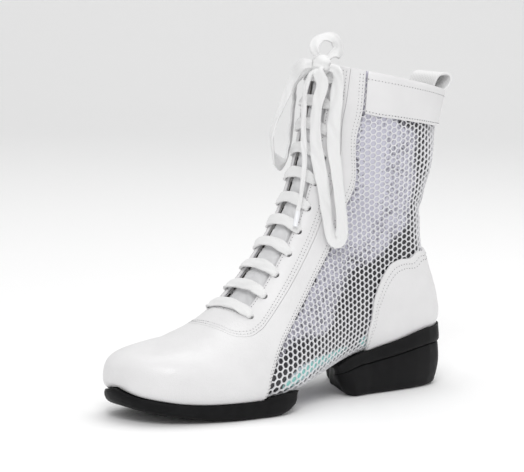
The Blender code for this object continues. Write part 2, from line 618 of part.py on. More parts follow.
def make_lace_bars(parts, finish):
    """Straight bars of lace across the throat, each from one hole to the hole opposite."""
    seat = CLEARANCE + LEATHER + LACE_CLEARANCE + LACE_THICKNESS / 2
    throat = np.array(THROAT_LINE)[2:]
    for number, (station, turn) in enumerate(trace(EYELET_LINE, EYELET_PAIRS), start=1):
        edge = np.interp(station, throat[:, 0], throat[:, 1])
        turns = np.concatenate([[turn], np.linspace(edge, FRONT, 4)])
        crown = np.clip((turns - edge) / (FRONT - edge), 0, 1)
        dip = LACE_DIP * min((station - THROAT_END) / 0.6, 1.0)
        height = seat - dip * (3 * crown ** 2 - 2 * crown ** 3)
        stations = np.full(len(turns), station)
        near = lifted(-1, stations, turns, height)
        far = lifted(1, stations, turns, height)
        centre = np.concatenate([near, far[-2::-1]])
        run = unit(np.gradient(centre, axis=0))
        out = np.concatenate([normal(-1, stations, turns), normal(1, stations, turns)[-2::-1]])
        across = unit(np.cross(run, out))
        flat_strap(f"lace_bar_{number:02d}", centre, across, unit(np.cross(across, run)),
                   LACE_WIDTH, LACE_THICKNESS, parts, finish)


def make_pull_loop(parts, finish):
    """Webbing loop over the back of the collar, one tail inside it and one outside."""
    half = LOOP_THICKNESS / 2
    inner, outer = -(WALL + CLEARANCE + half), CLEARANCE + LEATHER + CLEARANCE + half
    pitch = np.linalg.norm(skin(1, RIM - .5, UNDER) - skin(1, RIM, UNDER)) / .5
    tail = LOOP_TAIL / pitch
    columns = 3
    widths = LOOP_WIDTH / 2 * np.linspace(0, 1, columns)
    turns = np.interp(widths, skin(1, RIM, np.linspace(0, 1.5, 60))[:, 1], np.linspace(0, 1.5, 60))
    Row = namedtuple("Row", "out rise flat")
    arch = [Row(inner, .0000, 0), Row(inner + .0003, .0048, .1), Row(inner + .0016, .0095, .5),
            Row(.0020, .0120, .9), Row(.0052, .0120, 1), Row(.0070, .0088, 1), Row(.0062, .0044, .7),
            Row(outer + .0008, .0004, .2)]
    grids = []
    for side in (-1, 1):
        rim = skin(side, RIM, turns)
        out = normal(side, RIM, turns)
        up = unit(skin(side, RIM, turns) - skin(side, RIM - .4, turns))
        rows = [lifted(side, RIM - tail * (1 - k / 3), turns, np.full(columns, inner)) for k in range(3)]
        for row in arch:
            points = rim + out * row.out + up * row.rise
            level = points.copy()
            level[:, 0] = points[0, 0]
            level[:, 2] = points[0, 2]
            rows.append(points + (level - points) * row.flat)
        rows += [lifted(side, RIM - tail * k / 3, turns, np.full(columns, outer)) for k in (1, 2, 3)]
        grids.append(np.array(rows))
    obj = add_object("pull_loop", sheet(grids, (False, True)), parts, finish)
    thicken(obj, LOOP_THICKNESS, False)
    obj.modifiers["Thickness"].offset = 0.0
    return obj


# The bow over the top bar: a knot, two loops, a free end and a fold over the knot. A strand leaves
# the knot along leave and, unless it ends free, comes back to it along back. A row of four numbers
# is (side, station, turn, height above the skin), and a row of three an offset from the knot.
KNOT_PLACE = (-1, 16.9, 3.86)
KNOT_SIZE = (0.0105, 0.0150, 0.0130)
KNOT_SINK = 0.0008        # the bar dips towards the middle, so the knot sits this much lower
CORD_GAP = 0.0003
CORD_POINT_SPACING = 2.4 * CORD_DIAMETER
Strand = namedtuple("Strand", "name leave rows back")
STRANDS = [Strand(*row) for row in [
    ("bow_loop_inner", (-.75, .65, .10), [
        (1, 15.8, 3.83, .0145), (1, 14.0, 3.81, .0170), (1, 12.2, 3.82, .0193), (1, 10.6, 3.81, .0190),
        (1, 9.6, 3.74, .0125), (1, 9.6, 3.63, .0070), (1, 10.6, 3.55, .0062), (1, 12.7, 3.52, .0070),
        (1, 14.7, 3.55, .0073), (1, 15.9, 3.62, .0078)], (.12, .98, -.10)),
    ("bow_loop_outer", (-.70, -.65, -.30), [
        (-1, 15.8, 3.75, .0125), (-1, 14.5, 3.76, .0120), (-1, 13.1, 3.76, .0112), (-1, 11.3, 3.72, .0096),
        (-1, 10.0, 3.62, .0079), (-1, 9.2, 3.46, .0072), (-1, 8.5, 3.28, .0072), (-1, 8.1, 3.08, .0074),
        (-1, 8.1, 2.93, .0079), (-1, 8.7, 3.06, .0086), (-1, 9.4, 3.22, .0091), (-1, 10.3, 3.38, .0090),
        (-1, 11.8, 3.49, .0088), (-1, 13.5, 3.51, .0087), (-1, 15.2, 3.56, .0080)], (.15, -.97, -.15)),
    ("lace_end_outer", (-.75, .15, -.64), [
        (-1, 15.7, 3.92, .0145), (-1, 14.4, 3.93, .0135), (-1, 12.5, 3.91, .0115), (-1, 10.9, 3.86, .0100),
        (-1, 9.7, 3.79, .0095), (-1, 8.8, 3.73, .0095), (-1, 7.8, 3.67, .0090), (-1, 7.1, 3.61, .0078)],
        None),
    ("bow_fold_top", (-.25, .35, .90), [
        (.0010, .0060, .0146), (.0080, .0068, .0168), (.0158, .0055, .0154), (.0188, .0045, .0096)],
        (.80, .15, .58))]]


def smooth_route(route, spacing):
    """Evenly spaced points on a smooth curve through the route's own points."""
    route = np.array(route)
    reach = np.concatenate([[0], np.cumsum(np.linalg.norm(np.diff(route, axis=0), axis=1))])
    count = max(int(reach[-1] / spacing) + 1, 4)
    slopes = np.gradient(route, reach, axis=0)
    at = np.linspace(0, reach[-1], count)
    k = np.clip(np.searchsorted(reach, at, side="right") - 1, 0, len(route) - 2)
    span = (reach[k + 1] - reach[k])[:, None]
    f = (at - reach[k])[:, None] / span
    return ((2 * f ** 3 - 3 * f ** 2 + 1) * route[k] + (f ** 3 - 2 * f ** 2 + f) * slopes[k] * span
            + (3 * f ** 2 - 2 * f ** 3) * route[k + 1] + (f ** 3 - f ** 2) * slopes[k + 1] * span)


def knot_centre():
    """Centre of the knot, which rests on the outer face of the top bar."""
    side, station, turn = KNOT_PLACE
    face = CLEARANCE + LEATHER + LACE_CLEARANCE + LACE_THICKNESS
    return lifted(side, station, turn, face + CORD_GAP - KNOT_SINK + KNOT_SIZE[0] / 2)


def leaving(centre, direction):
    """The first two points of a strand that leaves the knot square to its surface, where direction
    from the centre meets it."""
    radii = np.array(KNOT_SIZE) / 2
    at = unit(np.array(direction) / radii) * radii
    out = unit(at / radii ** 2)
    return [centre + at + out * CORD_GAP, centre + at + out * (CORD_GAP + CORD_DIAMETER)]


def make_bow(parts, finish):
    """Knot over the top bar, with its loops and ends as plain tubes."""
    bm = bmesh.new()
    bmesh.ops.create_uvsphere(bm, u_segments=12, v_segments=8, radius=0.5)
    bmesh.ops.scale(bm, vec=KNOT_SIZE, verts=bm.verts)
    knot = add_object("lace_knot", bm, parts, finish)
    centre = knot_centre()
    knot.location = centre
    for strand in STRANDS:
        route = leaving(centre, strand.leave)
        route += [lifted(*row) if len(row) == 4 else centre + np.array(row) for row in strand.rows]
        if strand.back:
            route += leaving(centre, strand.back)[::-1]
        curve = bpy.data.curves.new(strand.name, "CURVE")
        curve.dimensions = "3D"
        curve.bevel_depth = CORD_DIAMETER / 2
        curve.bevel_resolution = 2
        curve.use_fill_caps = True
        loose_end = len(route) if strand.back is None else -1
        points = [route[0], *smooth_route(route[1:loose_end], CORD_POINT_SPACING), *route[loose_end:]]
        spline = curve.splines.new("POLY")
        spline.points.add(len(points) - 1)
        for slot, point in zip(spline.points, points):
            slot.co = (*point, 1.0)
        obj = bpy.data.objects.new(strand.name, curve)
        curve.materials.append(finish)
        parts.objects.link(obj)


def main():
    for obj in list(bpy.data.objects):
        bpy.data.objects.remove(obj, do_unlink=True)
    parts = new_collection("dance_boot")
    cutters = new_collection("cutters")
    leather = material("white_leather", WHITE_LEATHER, 0.35)
    mesh_cloth = material("white_mesh", WHITE_MESH, 0.5)
    cloth = material("white_cloth", WHITE_CLOTH, 0.85)
    rubber = material("black_rubber", BLACK_RUBBER, 0.45)
    lining = material("warm_lining", WARM_LINING, 0.9)
    upper = make_upper(parts, mesh_cloth)
    make_vamp(parts, leather)
    eyestay = make_eyestay(parts, leather)
    make_counter(parts, leather)
    make_band(parts, leather)
    make_tongue(parts, cloth)
    make_insole(parts, lining)
    make_forefoot_sole(parts, rubber)
    make_heel_unit(parts, rubber)
    make_holes(cutters, (upper, eyestay))
    make_lace_bars(parts, cloth)
    make_pull_loop(parts, cloth)
    make_bow(parts, cloth)


main()
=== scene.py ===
"""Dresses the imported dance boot: leather panels, open net quarters, tongue, lace and split sole."""

import math
from collections import namedtuple

import bmesh
import bpy
import numpy as np
from bpy.props import FloatProperty, FloatVectorProperty, PointerProperty
from mathutils import Matrix, Vector, kdtree


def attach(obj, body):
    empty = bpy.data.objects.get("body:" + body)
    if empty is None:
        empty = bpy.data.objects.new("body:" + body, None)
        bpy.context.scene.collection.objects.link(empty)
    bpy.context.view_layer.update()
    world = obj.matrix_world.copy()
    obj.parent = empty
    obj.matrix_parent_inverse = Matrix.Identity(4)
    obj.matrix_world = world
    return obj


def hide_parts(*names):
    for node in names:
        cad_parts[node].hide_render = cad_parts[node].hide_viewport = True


bl_info = {
    "name": "Dance boot",
    "version": (1, 0, 0),
    "blender": (4, 5, 0),
    "location": "3D View > Sidebar > Boot",
    "description": "Builds a lace-up dance boot piece by piece round its solid frame",
    "category": "Object",
}

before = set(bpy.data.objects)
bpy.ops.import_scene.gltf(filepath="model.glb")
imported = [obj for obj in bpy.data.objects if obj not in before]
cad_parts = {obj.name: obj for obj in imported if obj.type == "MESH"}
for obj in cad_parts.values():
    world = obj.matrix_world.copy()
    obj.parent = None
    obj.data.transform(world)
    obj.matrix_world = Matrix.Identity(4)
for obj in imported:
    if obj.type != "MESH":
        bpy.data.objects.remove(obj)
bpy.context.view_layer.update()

# Sizes of the last, the same as those of the solids
LENGTH = 0.251
HEEL_TO_ORIGIN = 0.054
BALL_WIDTH = 0.0825
HEEL_WIDTH = 0.0615
COLLAR_WIDTH = 0.074
INSTEP_HEIGHT = 0.0968
COLLAR_HEIGHT = 0.214
BACK_HEIGHT = 0.1945
HEEL_HEIGHT = 0.0318
BALL_HEIGHT = 0.0105
WALL = 0.0018
LEATHER = 0.0020          # outer face of a leather panel above the skin
CLEARANCE = 0.0007
SEAT_CLEARANCE = 0.0009
LEDGE = 0.0030            # inner face of a sole's rim above the skin
SEAM_GAP = 0.0007
LACE_SEAT = 0.00335       # middle of a lace bar above the skin
LACE_DIP = 0.0012
TONGUE_DEPTH = 0.0033
TONGUE_THICKNESS = 0.0042
INSOLE_THICKNESS = 0.0030
EYELET_DIAMETER = 0.0046
EYELET_PAIRS = 11
LOOP_WIDTH = 0.026
LOOP_THICKNESS = 0.0016
LOOP_TAIL = 0.012

Profile = namedtuple("Profile", "name low_x low_z low_of top_x top_z top_of sway")
Girth = namedtuple("Girth", "name lateral medial width_of floor edge_up edge_out "
                            "belly_up shoulder_up shoulder_out crown")
PROFILES = [
    Profile("tip",      .993,  .298, "instep",  .993,  .298, "instep",  .106),
    Profile("nose",     .991,  1.92, "ball_z",  .989,  .369, "instep",  .106),
    Profile("toe",      .960,  1.56, "ball_z",  .948,  .423, "instep",  .082),
    Profile("box",      .878,  1.13, "ball_z",  .873,  .449, "instep",  .047),
    Profile("vamp",     .782,  1.00, "ball_z",  .786,  .495, "instep",  .012),
    Profile("ball",     .682,  .960, "ball_z",  .699,  .592, "instep", -.012),
    Profile("joint",    .583,  1.02, "ball_z",  .621,  .790, "instep", -.024),
    Profile("waist",    .483,  .450, "heel_z",  .551,  1.00, "instep", -.012),
    Profile("arch",     .385,  .660, "heel_z",  .501,  .534, "collar",  .000),
    Profile("shank",    .285,  .836, "heel_z",  .467,  .605, "collar",  .000),
    Profile("seat",     .186,  .918, "heel_z",  .448,  .676, "collar",  .000),
    Profile("heel",     .087,  1.00, "heel_z",  .434,  .732, "collar",  .000),
    Profile("corner",   .016,  1.08, "heel_z",  .426,  .775, "collar",  .000),
    Profile("counter",  .014,  .248, "back",    .419,  .807, "collar",  .000),
    Profile("bulge",    .073,  .390, "back",    .408,  .845, "collar",  .000),
    Profile("tendon",   .091,  .534, "back",    .401,  .879, "collar",  .000),
    Profile("ankle",    .071,  .679, "back",    .393,  .911, "collar",  .000),
    Profile("shaft",    .047,  .819, "back",    .386,  .949, "collar",  .000),
    Profile("collar",   .024,  .938, "back",    .379,  .977, "collar",  .000),
    Profile("rim",      .009,  1.00, "back",    .375,  1.00, "collar",  .000),
]
GIRTHS = [
    Girth("tip",     .000, .000, "ball",    .70,  .03,  1.0, .40, .85, .95, .55),
    Girth("nose",    .176, .176, "ball",    .70,  .03,  1.0, .40, .85, .95, .55),
    Girth("toe",     .330, .306, "ball",    .76,  .03,  1.0, .40, .85, .95, .55),
    Girth("box",     .435, .400, "ball",    .80,  .03,  1.0, .40, .84, .92, .50),
    Girth("vamp",    .482, .459, "ball",    .84,  .03,  1.0, .38, .82, .86, .44),
    Girth("ball",    .506, .494, "ball",    .84,  .03,  1.0, .34, .78, .78, .38),
    Girth("joint",   .494, .470, "ball",    .78,  .03,  1.0, .32, .76, .76, .36),
    Girth("waist",   .447, .424, "ball",    .66,  .04,  1.0, .32, .76, .76, .36),
    Girth("arch",    .400, .388, "ball",    .56,  .05,  .98, .32, .76, .78, .36),
    Girth("shank",   .500, .500, "heel",    .60,  .04,  .98, .30, .78, .80, .38),
    Girth("seat",    .500, .500, "heel",    .70,  .03,  .98, .28, .80, .80, .40),
    Girth("heel",    .500, .500, "heel",    .62,  .03,  .96, .28, .80, .80, .42),
    Girth("corner",  .500, .500, "heel",    .42,  .03,  .88, .26, .80, .80, .42),
    Girth("counter", .515, .515, "heel",    .42,  .05,  .86, .28, .80, .80, .42),
    Girth("bulge",   .515, .515, "heel",    .42,  .06,  .86, .30, .80, .82, .42),
    Girth("tendon",  .530, .530, "heel",    .42,  .07,  .86, .34, .80, .84, .42),
    Girth("ankle",   .474, .474, "collar",  .42,  .08,  .86, .38, .78, .86, .42),
    Girth("shaft",   .487, .487, "collar",  .42,  .10,  .86, .42, .78, .88, .42),
    Girth("collar",  .500, .500, "collar",  .42,  .12,  .86, .45, .80, .88, .42),
    Girth("rim",     .500, .500, "collar",  .42,  .12,  .86, .45, .80, .88, .42),
]
HEIGHTS = {"instep": INSTEP_HEIGHT, "collar": COLLAR_HEIGHT, "back": BACK_HEIGHT,
           "heel_z": HEEL_HEIGHT, "ball_z": BALL_HEIGHT}
WIDTHS = {"ball": BALL_WIDTH, "heel": HEEL_WIDTH, "collar": COLLAR_WIDTH}
DEGREE = 3
RIM = float(len(PROFILES) - DEGREE)
UNDER, FRONT = 0.0, 4.0
LOOP_POINTS = 7
BELLY_OUT = 1.06

# Lines on the skin, each a row of (station, turn)
THROAT_END = 4.25
SEAM_LINE = [(3.44, 4.00), (3.47, 3.71), (3.61, 3.34), (3.99, 3.10), (4.43, 3.05), (4.94, 3.11),
             (6.00, 3.17), (7.40, 3.22), (10.1, 3.31), (13.6, 3.38), (RIM, 3.46)]
THROAT_LINE = [(THROAT_END, 4.00), (THROAT_END, 3.82), (4.32, 3.66), (4.60, 3.61), (5.20, 3.63),
               (5.90, 3.64), (6.80, 3.65), (7.90, 3.67), (10.3, 3.70), (13.6, 3.73), (RIM, 3.74)]
MESH_LINE = [(3.98, 0.60), (4.04, 1.10), (4.12, 1.62), (4.43, 2.21), (4.77, 2.46), (5.21, 2.61),
             (6.34, 2.79), (7.73, 2.89), (9.23, 3.00), (12.0, 3.06), (15.1, 3.09), (RIM, 3.17)]
EYELET_LINE = [(4.36, 3.44), (5.00, 3.49), (5.52, 3.53), (6.37, 3.52), (7.22, 3.55), (8.40, 3.57),
               (10.3, 3.59), (13.0, 3.62), (16.3, 3.64)]
COUNTER_LINE = [(7.94, 1.05), (8.05, 1.38), (8.35, 1.69), (8.65, 1.93), (9.03, 2.07), (9.57, 2.19),
                (10.29, 2.25), (11.24, 2.16), (12.3, 1.90), (13.0, 1.35), (13.45, 0.70), (13.62, 0.00)]
BAND_LINE = [(15.15, 3.08), (15.71, 2.47), (15.98, 1.98), (16.25, 1.02), (16.36, 0.00)]
Edge = namedtuple("Edge", "station foot rim")
# The toe's rim lies a little lower here than on the solid, as in the photo
FOREFOOT_EDGE = [Edge(*row) for row in [
    (0.42, .00, .00), (0.52, .14, .22), (0.70, .28, .42), (0.95, .38, .58), (1.30, .46, .69),
    (2.00, .53, .76), (3.00, .57, .81), (4.00, .60, .84), (4.60, .60, .86), (4.95, .56, .80),
    (5.15, .46, .68)]]
HEEL_EDGE = [Edge(*row) for row in [
    (6.80, .40, .62), (7.30, .46, .70), (8.00, .50, .76), (8.90, .56, .84), (9.70, .66, .94),
    (10.30, .68, .96), (10.80, .58, .84), (11.15, .40, .60), (11.38, .20, .32), (11.50, .00, .00)]]
Layer = namedtuple("Layer", "name depth side front back")
FOREFOOT_SIDE = [Layer(*row) for row in [
    ("rim",   0.00,  .0014,  .0032, .0000), ("upper", .30,  .0022,  .0038, .0002),
    ("lower", 0.70,  .0018,  .0030, .0002), ("tread", 1.0, -.0012, -.0006, .0000)]]
HEEL_SIDE = [Layer(*row) for row in [
    ("rim",      0.00,  .0014, .0010, .0014), ("band",   .24,  .0022, -.0020,  .0022),
    ("notch",    0.28,  .0004, -.0034, .0000), ("step",  .33,  .0020, -.0050,  .0010),
    ("belly",    0.62,  .0030, -.0090, .0012), ("tuck",  .88,  .0016, -.0120, -.0020),
    ("tread",    1.00, -.0014, -.0150, -.0100)]]
SPRING = [(.520, 1.00), (.558, .84), (.580, .52), (.605, .16), (.632, .00), (.765, .00),
          (.800, .08), (.853, .22), (.928, .50), (.975, .78), (1.00, 1.06), (1.03, 1.50)]
BREAST_SKEW = 1.6
TUCK = .65


def weights(count, u):
    """Clamped uniform cubic spline weights: a row for each u, a column for each of count points."""
    spans = count - DEGREE
    knots = np.concatenate([np.zeros(DEGREE), np.arange(spans + 1), np.full(DEGREE, spans)])
    u = np.clip(np.asarray(u, float), 0, spans - 1e-9)
    rows = np.array([(u >= a) & (u < b) for a, b in zip(knots[:-1], knots[1:])], float).T
    for d in range(1, DEGREE + 1):
        wider = np.zeros((len(u), rows.shape[1] - 1))
        for k in range(rows.shape[1] - 1):
            rise = knots[k + d] - knots[k]
            fall = knots[k + d + 1] - knots[k + 1]
            if rise > 0:
                wider[:, k] += (u - knots[k]) / rise * rows[:, k]
            if fall > 0:
                wider[:, k] += (knots[k + d + 1] - u) / fall * rows[:, k + 1]
        rows = wider
    return rows


def x_at(share):
    return HEEL_TO_ORIGIN - share * LENGTH


def section_points(profile, girth, side):
    """Control points of half a section, from the low point to the top point."""
    sway = profile.sway * BALL_WIDTH
    low = np.array([x_at(profile.low_x), sway, profile.low_z * HEIGHTS[profile.low_of]])
    top = np.array([x_at(profile.top_x), sway, profile.top_z * HEIGHTS[profile.top_of]])
    half = np.array([(0, 0), (0, girth.floor), (girth.edge_up, girth.edge_out),
                     (girth.belly_up, BELLY_OUT), (girth.shoulder_up, girth.shoulder_out),
                     (1, girth.crown), (1, 0)])
    widest = (weights(LOOP_POINTS, np.linspace(0, FRONT, 60)) @ half)[:, 1].max()
    share = girth.medial if side > 0 else girth.lateral
    width = share * WIDTHS[girth.width_of] / widest
    return [low + (top - low) * up + np.array([0, side * out * width, 0]) for up, out in half]


SKIN_POINTS = {side: np.array([section_points(*rows, side) for rows in zip(PROFILES, GIRTHS)])
               for side in (-1, 1)}


def skin(side, station, turn):
    """Points of the skin; side is -1 for the outer half of the foot and 1 for the inner half."""
    station, turn = np.broadcast_arrays(np.asarray(station, float), np.asarray(turn, float))
    across = weights(len(PROFILES), station.ravel())
    around = weights(LOOP_POINTS, turn.ravel())
    points = np.einsum("ni,nj,ijk->nk", across, around, SKIN_POINTS[side], optimize=True)
    return points.reshape(station.shape + (3,))


def normal(side, station, turn, step=1e-3, pole=0.06):
    """Outward unit normals of the skin; at the toe's tip, where a section shrinks to a point, -X."""
    station, turn = np.broadcast_arrays(np.asarray(station, float), np.asarray(turn, float))
    near = np.clip(station, pole, RIM - step)
    turned = np.clip(turn, step, FRONT - step)
    along = skin(side, near + step, turned) - skin(side, near - step, turned)
    up = skin(side, near, turned + step) - skin(side, near, turned - step)
    out = np.cross(along, up) * -side
    out /= np.linalg.norm(out, axis=-1, keepdims=True)
    on_centre = (turn <= 0) | (turn >= FRONT)
    out[..., 1] = np.where(on_centre, 0.0, out[..., 1])
    out = np.where((station < pole)[..., None], np.array([-1.0, 0, 0]), out)
    return out / np.linalg.norm(out, axis=-1, keepdims=True)


# Soft folds of the upper: side (0 for both), a line of (station, turn), half width and height in
# metres; a height below zero is a trough.
Fold = namedtuple("Fold", "name side line width height")
FOLDS = [Fold(*row) for row in [
    ("toe_box_break", 0, [(2.55, 4.0), (2.75, 3.3), (3.05, 2.7)], .0060, -.0006),
    ("instep_break", 0, [(3.30, 3.0), (3.45, 2.2), (3.70, 1.5)], .0055, -.0007),
    ("ball_pucker", -1, [(3.75, 2.4), (3.90, 1.7), (4.00, 1.2)], .0035, .0005),
    ("ankle_front", 0, [(8.2, 3.20), (8.6, 2.85), (9.6, 2.40)], .0060, -.0008),
    ("ankle_ridge", 0, [(9.6, 3.00), (10.3, 2.70), (11.6, 2.30)], .0060, .0008),
    ("tendon_fold", 0, [(13.2, 2.10), (14.0, 1.60), (14.3, 0.90), (14.2, 0.2)], .0046, -.0014),
    ("shaft_swell", 0, [(16.1, 1.15), (15.4, 1.05), (14.7, 1.00)], .0120, .0024),
    ("shaft_back_swell", 0, [(16.1, .0), (15.4, .0), (14.7, .0)], .0120, .0016),
    ("shaft_fold", 0, [(15.0, 2.20), (14.9, 1.30), (15.1, 0.40)], .0045, -.0006),
    ("counter_dent", -1, [(10.2, 1.60), (11.0, 1.50), (11.9, 1.25)], .0070, -.0005),
]]


def fold_relief(side, points):
    """How far the folds lift or sink each point of a surface."""
    flat = points.reshape(-1, 3)
    total = np.zeros(len(flat))
    for fold in FOLDS:
        if fold.side not in (0, side):
            continue
        line = trace(fold.line, 25)
        places = skin(side, line[:, 0], line[:, 1])
        low, high = places.min(0) - 3 * fold.width, places.max(0) + 3 * fold.width
        near = np.all((flat > low) & (flat < high), axis=1)
        if not near.any():
            continue
        gaps = np.linalg.norm(flat[near][:, None] - places[None], axis=2)
        share = gaps.argmin(1) / (len(line) - 1)
        fade = np.sin(np.pi * np.clip(share, 0.02, 0.98)) ** 0.7
        total[near] += fold.height * fade * np.exp(-(gaps.min(1) / fold.width) ** 2)
    return total.reshape(points.shape[:-1])


def lifted(side, station, turn, height):
    """Points at a height above the skin."""
    return skin(side, station, turn) + normal(side, station, turn) * np.asarray(height)[..., None]


def draped(side, station, turn, height):
    """Points at a height above the skin, with the folds of the upper in them."""
    base = skin(side, station, turn)
    relief = fold_relief(side, base)
    return base + normal(side, station, turn) * (np.asarray(height) + relief)[..., None]


def travelled(points):
    """Distance of each point along the line of points, from 0 at the first."""
    return np.concatenate([[0], np.cumsum(np.linalg.norm(np.diff(points, axis=0), axis=1))])


def trace(rows, count, spread=None):
    """count places along a line of (station, turn) rows, on a smooth curve through them."""
    rows = np.array(rows, float)
    reach = travelled(skin(-1, rows[:, 0], rows[:, 1]))
    at = np.linspace(0, 1, count) if spread is None else np.asarray(spread)
    return smooth_at(rows, reach, at * reach[-1])


def smooth_at(rows, reach, at):
    """Rows read at places along a smooth curve that passes each row at its reach."""
    slopes = np.gradient(rows, reach, axis=0)
    k = np.clip(np.searchsorted(reach, at, side="right") - 1, 0, len(rows) - 2)
    span = (reach[k + 1] - reach[k])[:, None]
    f = ((at - reach[k]) / span[:, 0])[:, None]
    a, b = rows[k], rows[k + 1]
    ta, tb = slopes[k] * span, slopes[k + 1] * span
    return ((2 * f ** 3 - 3 * f ** 2 + 1) * a + (f ** 3 - 2 * f ** 2 + f) * ta
            + (3 * f ** 2 - 2 * f ** 3) * b + (f ** 3 - f ** 2) * tb)


def between(side, first, second, count, first_gap=0.0, second_gap=0.0):
    """Places on straight runs from each place of first to its place of second, less the gaps."""
    share = np.linspace(0, 1, count)
    line = first[:, None] + (second - first)[:, None] * share[None, :, None]
    points = skin(side, line[..., 0], line[..., 1])
    length = np.linalg.norm(np.diff(points, axis=1), axis=2).sum(1)
    low = first_gap / np.maximum(length, 1e-6)
    high = 1 - second_gap / np.maximum(length, 1e-6)
    spread = low[:, None] + (high - low)[:, None] * share
    return first[:, None] + (second - first)[:, None] * spread[..., None]


def inset(side, first, second, distance):
    """Places at a real distance from first, on the runs towards second."""
    length = np.linalg.norm(skin(side, *second.T) - skin(side, *first.T), axis=1)
    return first + (second - first) * (distance / np.maximum(length, 1e-6))[:, None]


def unit(v):
    return v / np.linalg.norm(v, axis=-1, keepdims=True)


def ease(low, high, value):
    """0 below low, 1 above high and smooth between them."""
    t = np.clip((value - low) / (high - low), 0, 1)
    return t * t * (3 - 2 * t)


def edge_turn(edge_rows, station, share):
    """Turn of a place in a sole's rabbet, from its foot (share 0) to its rim (share 1)."""
    rows = np.array(edge_rows)
    return np.interp(station, rows[:, 0], rows[:, 1] + (rows[:, 2] - rows[:, 1]) * share)


def settings():
    return bpy.context.scene.boot_sizes


def colours():
    return bpy.context.scene.boot_colours


def new_object(name, data):
    made = bpy.data.objects.new(name, data)
    bpy.context.scene.collection.objects.link(made)
    return made


def mesh_from(bm, name):
    """A mesh with what a bmesh holds; the bmesh is freed."""
    mesh = bpy.data.meshes.new(name)
    bm.to_mesh(mesh)
    bm.free()
    return mesh


def bmesh_of(points, faces):
    """A bmesh of points and of faces given by the numbers of their points."""
    mesh = bpy.data.meshes.new("points")
    mesh.from_pydata(points, [], faces)
    bm = bmesh.new()
    bm.from_mesh(mesh)
    bpy.data.meshes.remove(mesh)
    return bm


def add_piece(name, source, finishes, nodes=(), smooth_angle=40):
    """Make a piece from a mesh or a bmesh, let it ride on the boot and stand for its solids."""
    mesh = mesh_from(source, name) if isinstance(source, bmesh.types.BMesh) else source
    mesh.shade_smooth()
    mesh.set_sharp_from_angle(angle=math.radians(smooth_angle))
    for finish in finishes:
        mesh.materials.append(finish)
    piece = new_object(name, mesh)
    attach(piece, "root")
    if nodes:
        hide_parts(*nodes)
    return piece


def add_grid(bm, grid, flip=False, keep=None):
    """Quads over a grid of points; returns its vertices row by row."""
    vertices = [[bm.verts.new(point) for point in row] for row in grid]
    for i in range(len(grid) - 1):
        for j in range(len(grid[0]) - 1):
            if keep is not None and not keep[i][j]:
                continue
            corners = [vertices[i][j], vertices[i + 1][j], vertices[i + 1][j + 1], vertices[i][j + 1]]
            bm.faces.new(corners[::-1] if flip else corners)
    return vertices


def weld(bm, distance=2e-5):
    loose = [v for v in bm.verts if not v.link_faces]
    bmesh.ops.delete(bm, geom=loose, context="VERTS")
    bmesh.ops.remove_doubles(bm, verts=bm.verts, dist=distance)
    bmesh.ops.dissolve_degenerate(bm, edges=bm.edges, dist=1e-6)


def round_edges(piece, width, angle=50, segments=2):
    """Round the sharp edges of a piece and keep the result in its mesh."""
    bevel = piece.modifiers.new("Rounded edge", "BEVEL")
    bevel.width = width
    bevel.segments = segments
    bevel.limit_method = "ANGLE"
    bevel.angle_limit = math.radians(angle)
    bevel.harden_normals = False
    settle(piece)


def settle(piece):
    """Replace a piece's mesh by what its modifiers make of it."""
    result = piece.evaluated_get(bpy.context.evaluated_depsgraph_get())
    mesh = bpy.data.meshes.new_from_object(result)
    piece.modifiers.clear()
    old, piece.data = piece.data, mesh
    bpy.data.meshes.remove(old)
    mesh.name = piece.name


def strip(bm, first, second, flip):
    """Quads between two rows of vertices."""
    for a, b, c, d in zip(first, first[1:], second[1:], second):
        corners = [a, b, c, d]
        bm.faces.new(corners[::-1] if flip else corners)


def add_rings(bm, rings):
    """Quads between each closed ring of vertices and the next."""
    size = len(rings[0])
    for a, b in zip(rings, rings[1:]):
        for k in range(size):
            bm.faces.new((a[k], a[(k + 1) % size], b[(k + 1) % size], b[k]))


def ring_quads(first, count, rings, sides):
    """Quads of count tubes, their points numbered tube by tube and ring by ring from first."""
    base = first + np.arange(count)[:, None, None] * rings * sides
    level = np.arange(rings - 1)[None, :, None] * sides
    k = np.arange(sides)[None, None, :]
    after = (k + 1) % sides
    return np.stack([base + level + k, base + level + after, base + level + sides + after,
                     base + level + sides + k], -1).reshape(-1, 4)


def shell(grids, thin_grids, rims):
    """A closed shell between outer and inner grids, joined along the named rims of each half."""
    bm = bmesh.new()
    for side, outer, inner in zip((-1, 1), grids, thin_grids):
        flip = side > 0
        out_rows = add_grid(bm, outer, flip)
        in_rows = add_grid(bm, inner, not flip)
        for rim, start in rims:
            if rim == "lower":
                strip(bm, [r[0] for r in out_rows[start:]], [r[0] for r in in_rows[start:]], flip)
            elif rim == "upper":
                strip(bm, [r[-1] for r in in_rows[start:]], [r[-1] for r in out_rows[start:]], flip)
            elif rim == "first":
                strip(bm, in_rows[0], out_rows[0], flip)
            else:
                strip(bm, out_rows[-1], in_rows[-1], flip)
    weld(bm)
    bmesh.ops.recalc_face_normals(bm, faces=bm.faces)
    return bm


def rim_distance(grid, rims):
    """Distance of each point of a grid from the nearest of its named rims."""
    across = np.concatenate([np.zeros((len(grid), 1)),
                             np.cumsum(np.linalg.norm(np.diff(grid, axis=1), axis=2), axis=1)], axis=1)
    along = np.concatenate([np.zeros((1, grid.shape[1])),
                            np.cumsum(np.linalg.norm(np.diff(grid, axis=0), axis=2), axis=0)])
    found = np.full(grid.shape[:2], 1.0)
    rows = np.arange(len(grid))[:, None]
    for rim, start in rims:
        if rim == "lower":
            found = np.minimum(found, np.where(rows >= start, across, 1.0))
        elif rim == "upper":
            found = np.minimum(found, np.where(rows >= start, across[:, -1:] - across, 1.0))
        elif rim == "first":
            found = np.minimum(found, along)
        else:
            found = np.minimum(found, along[-1:] - along)
    return found


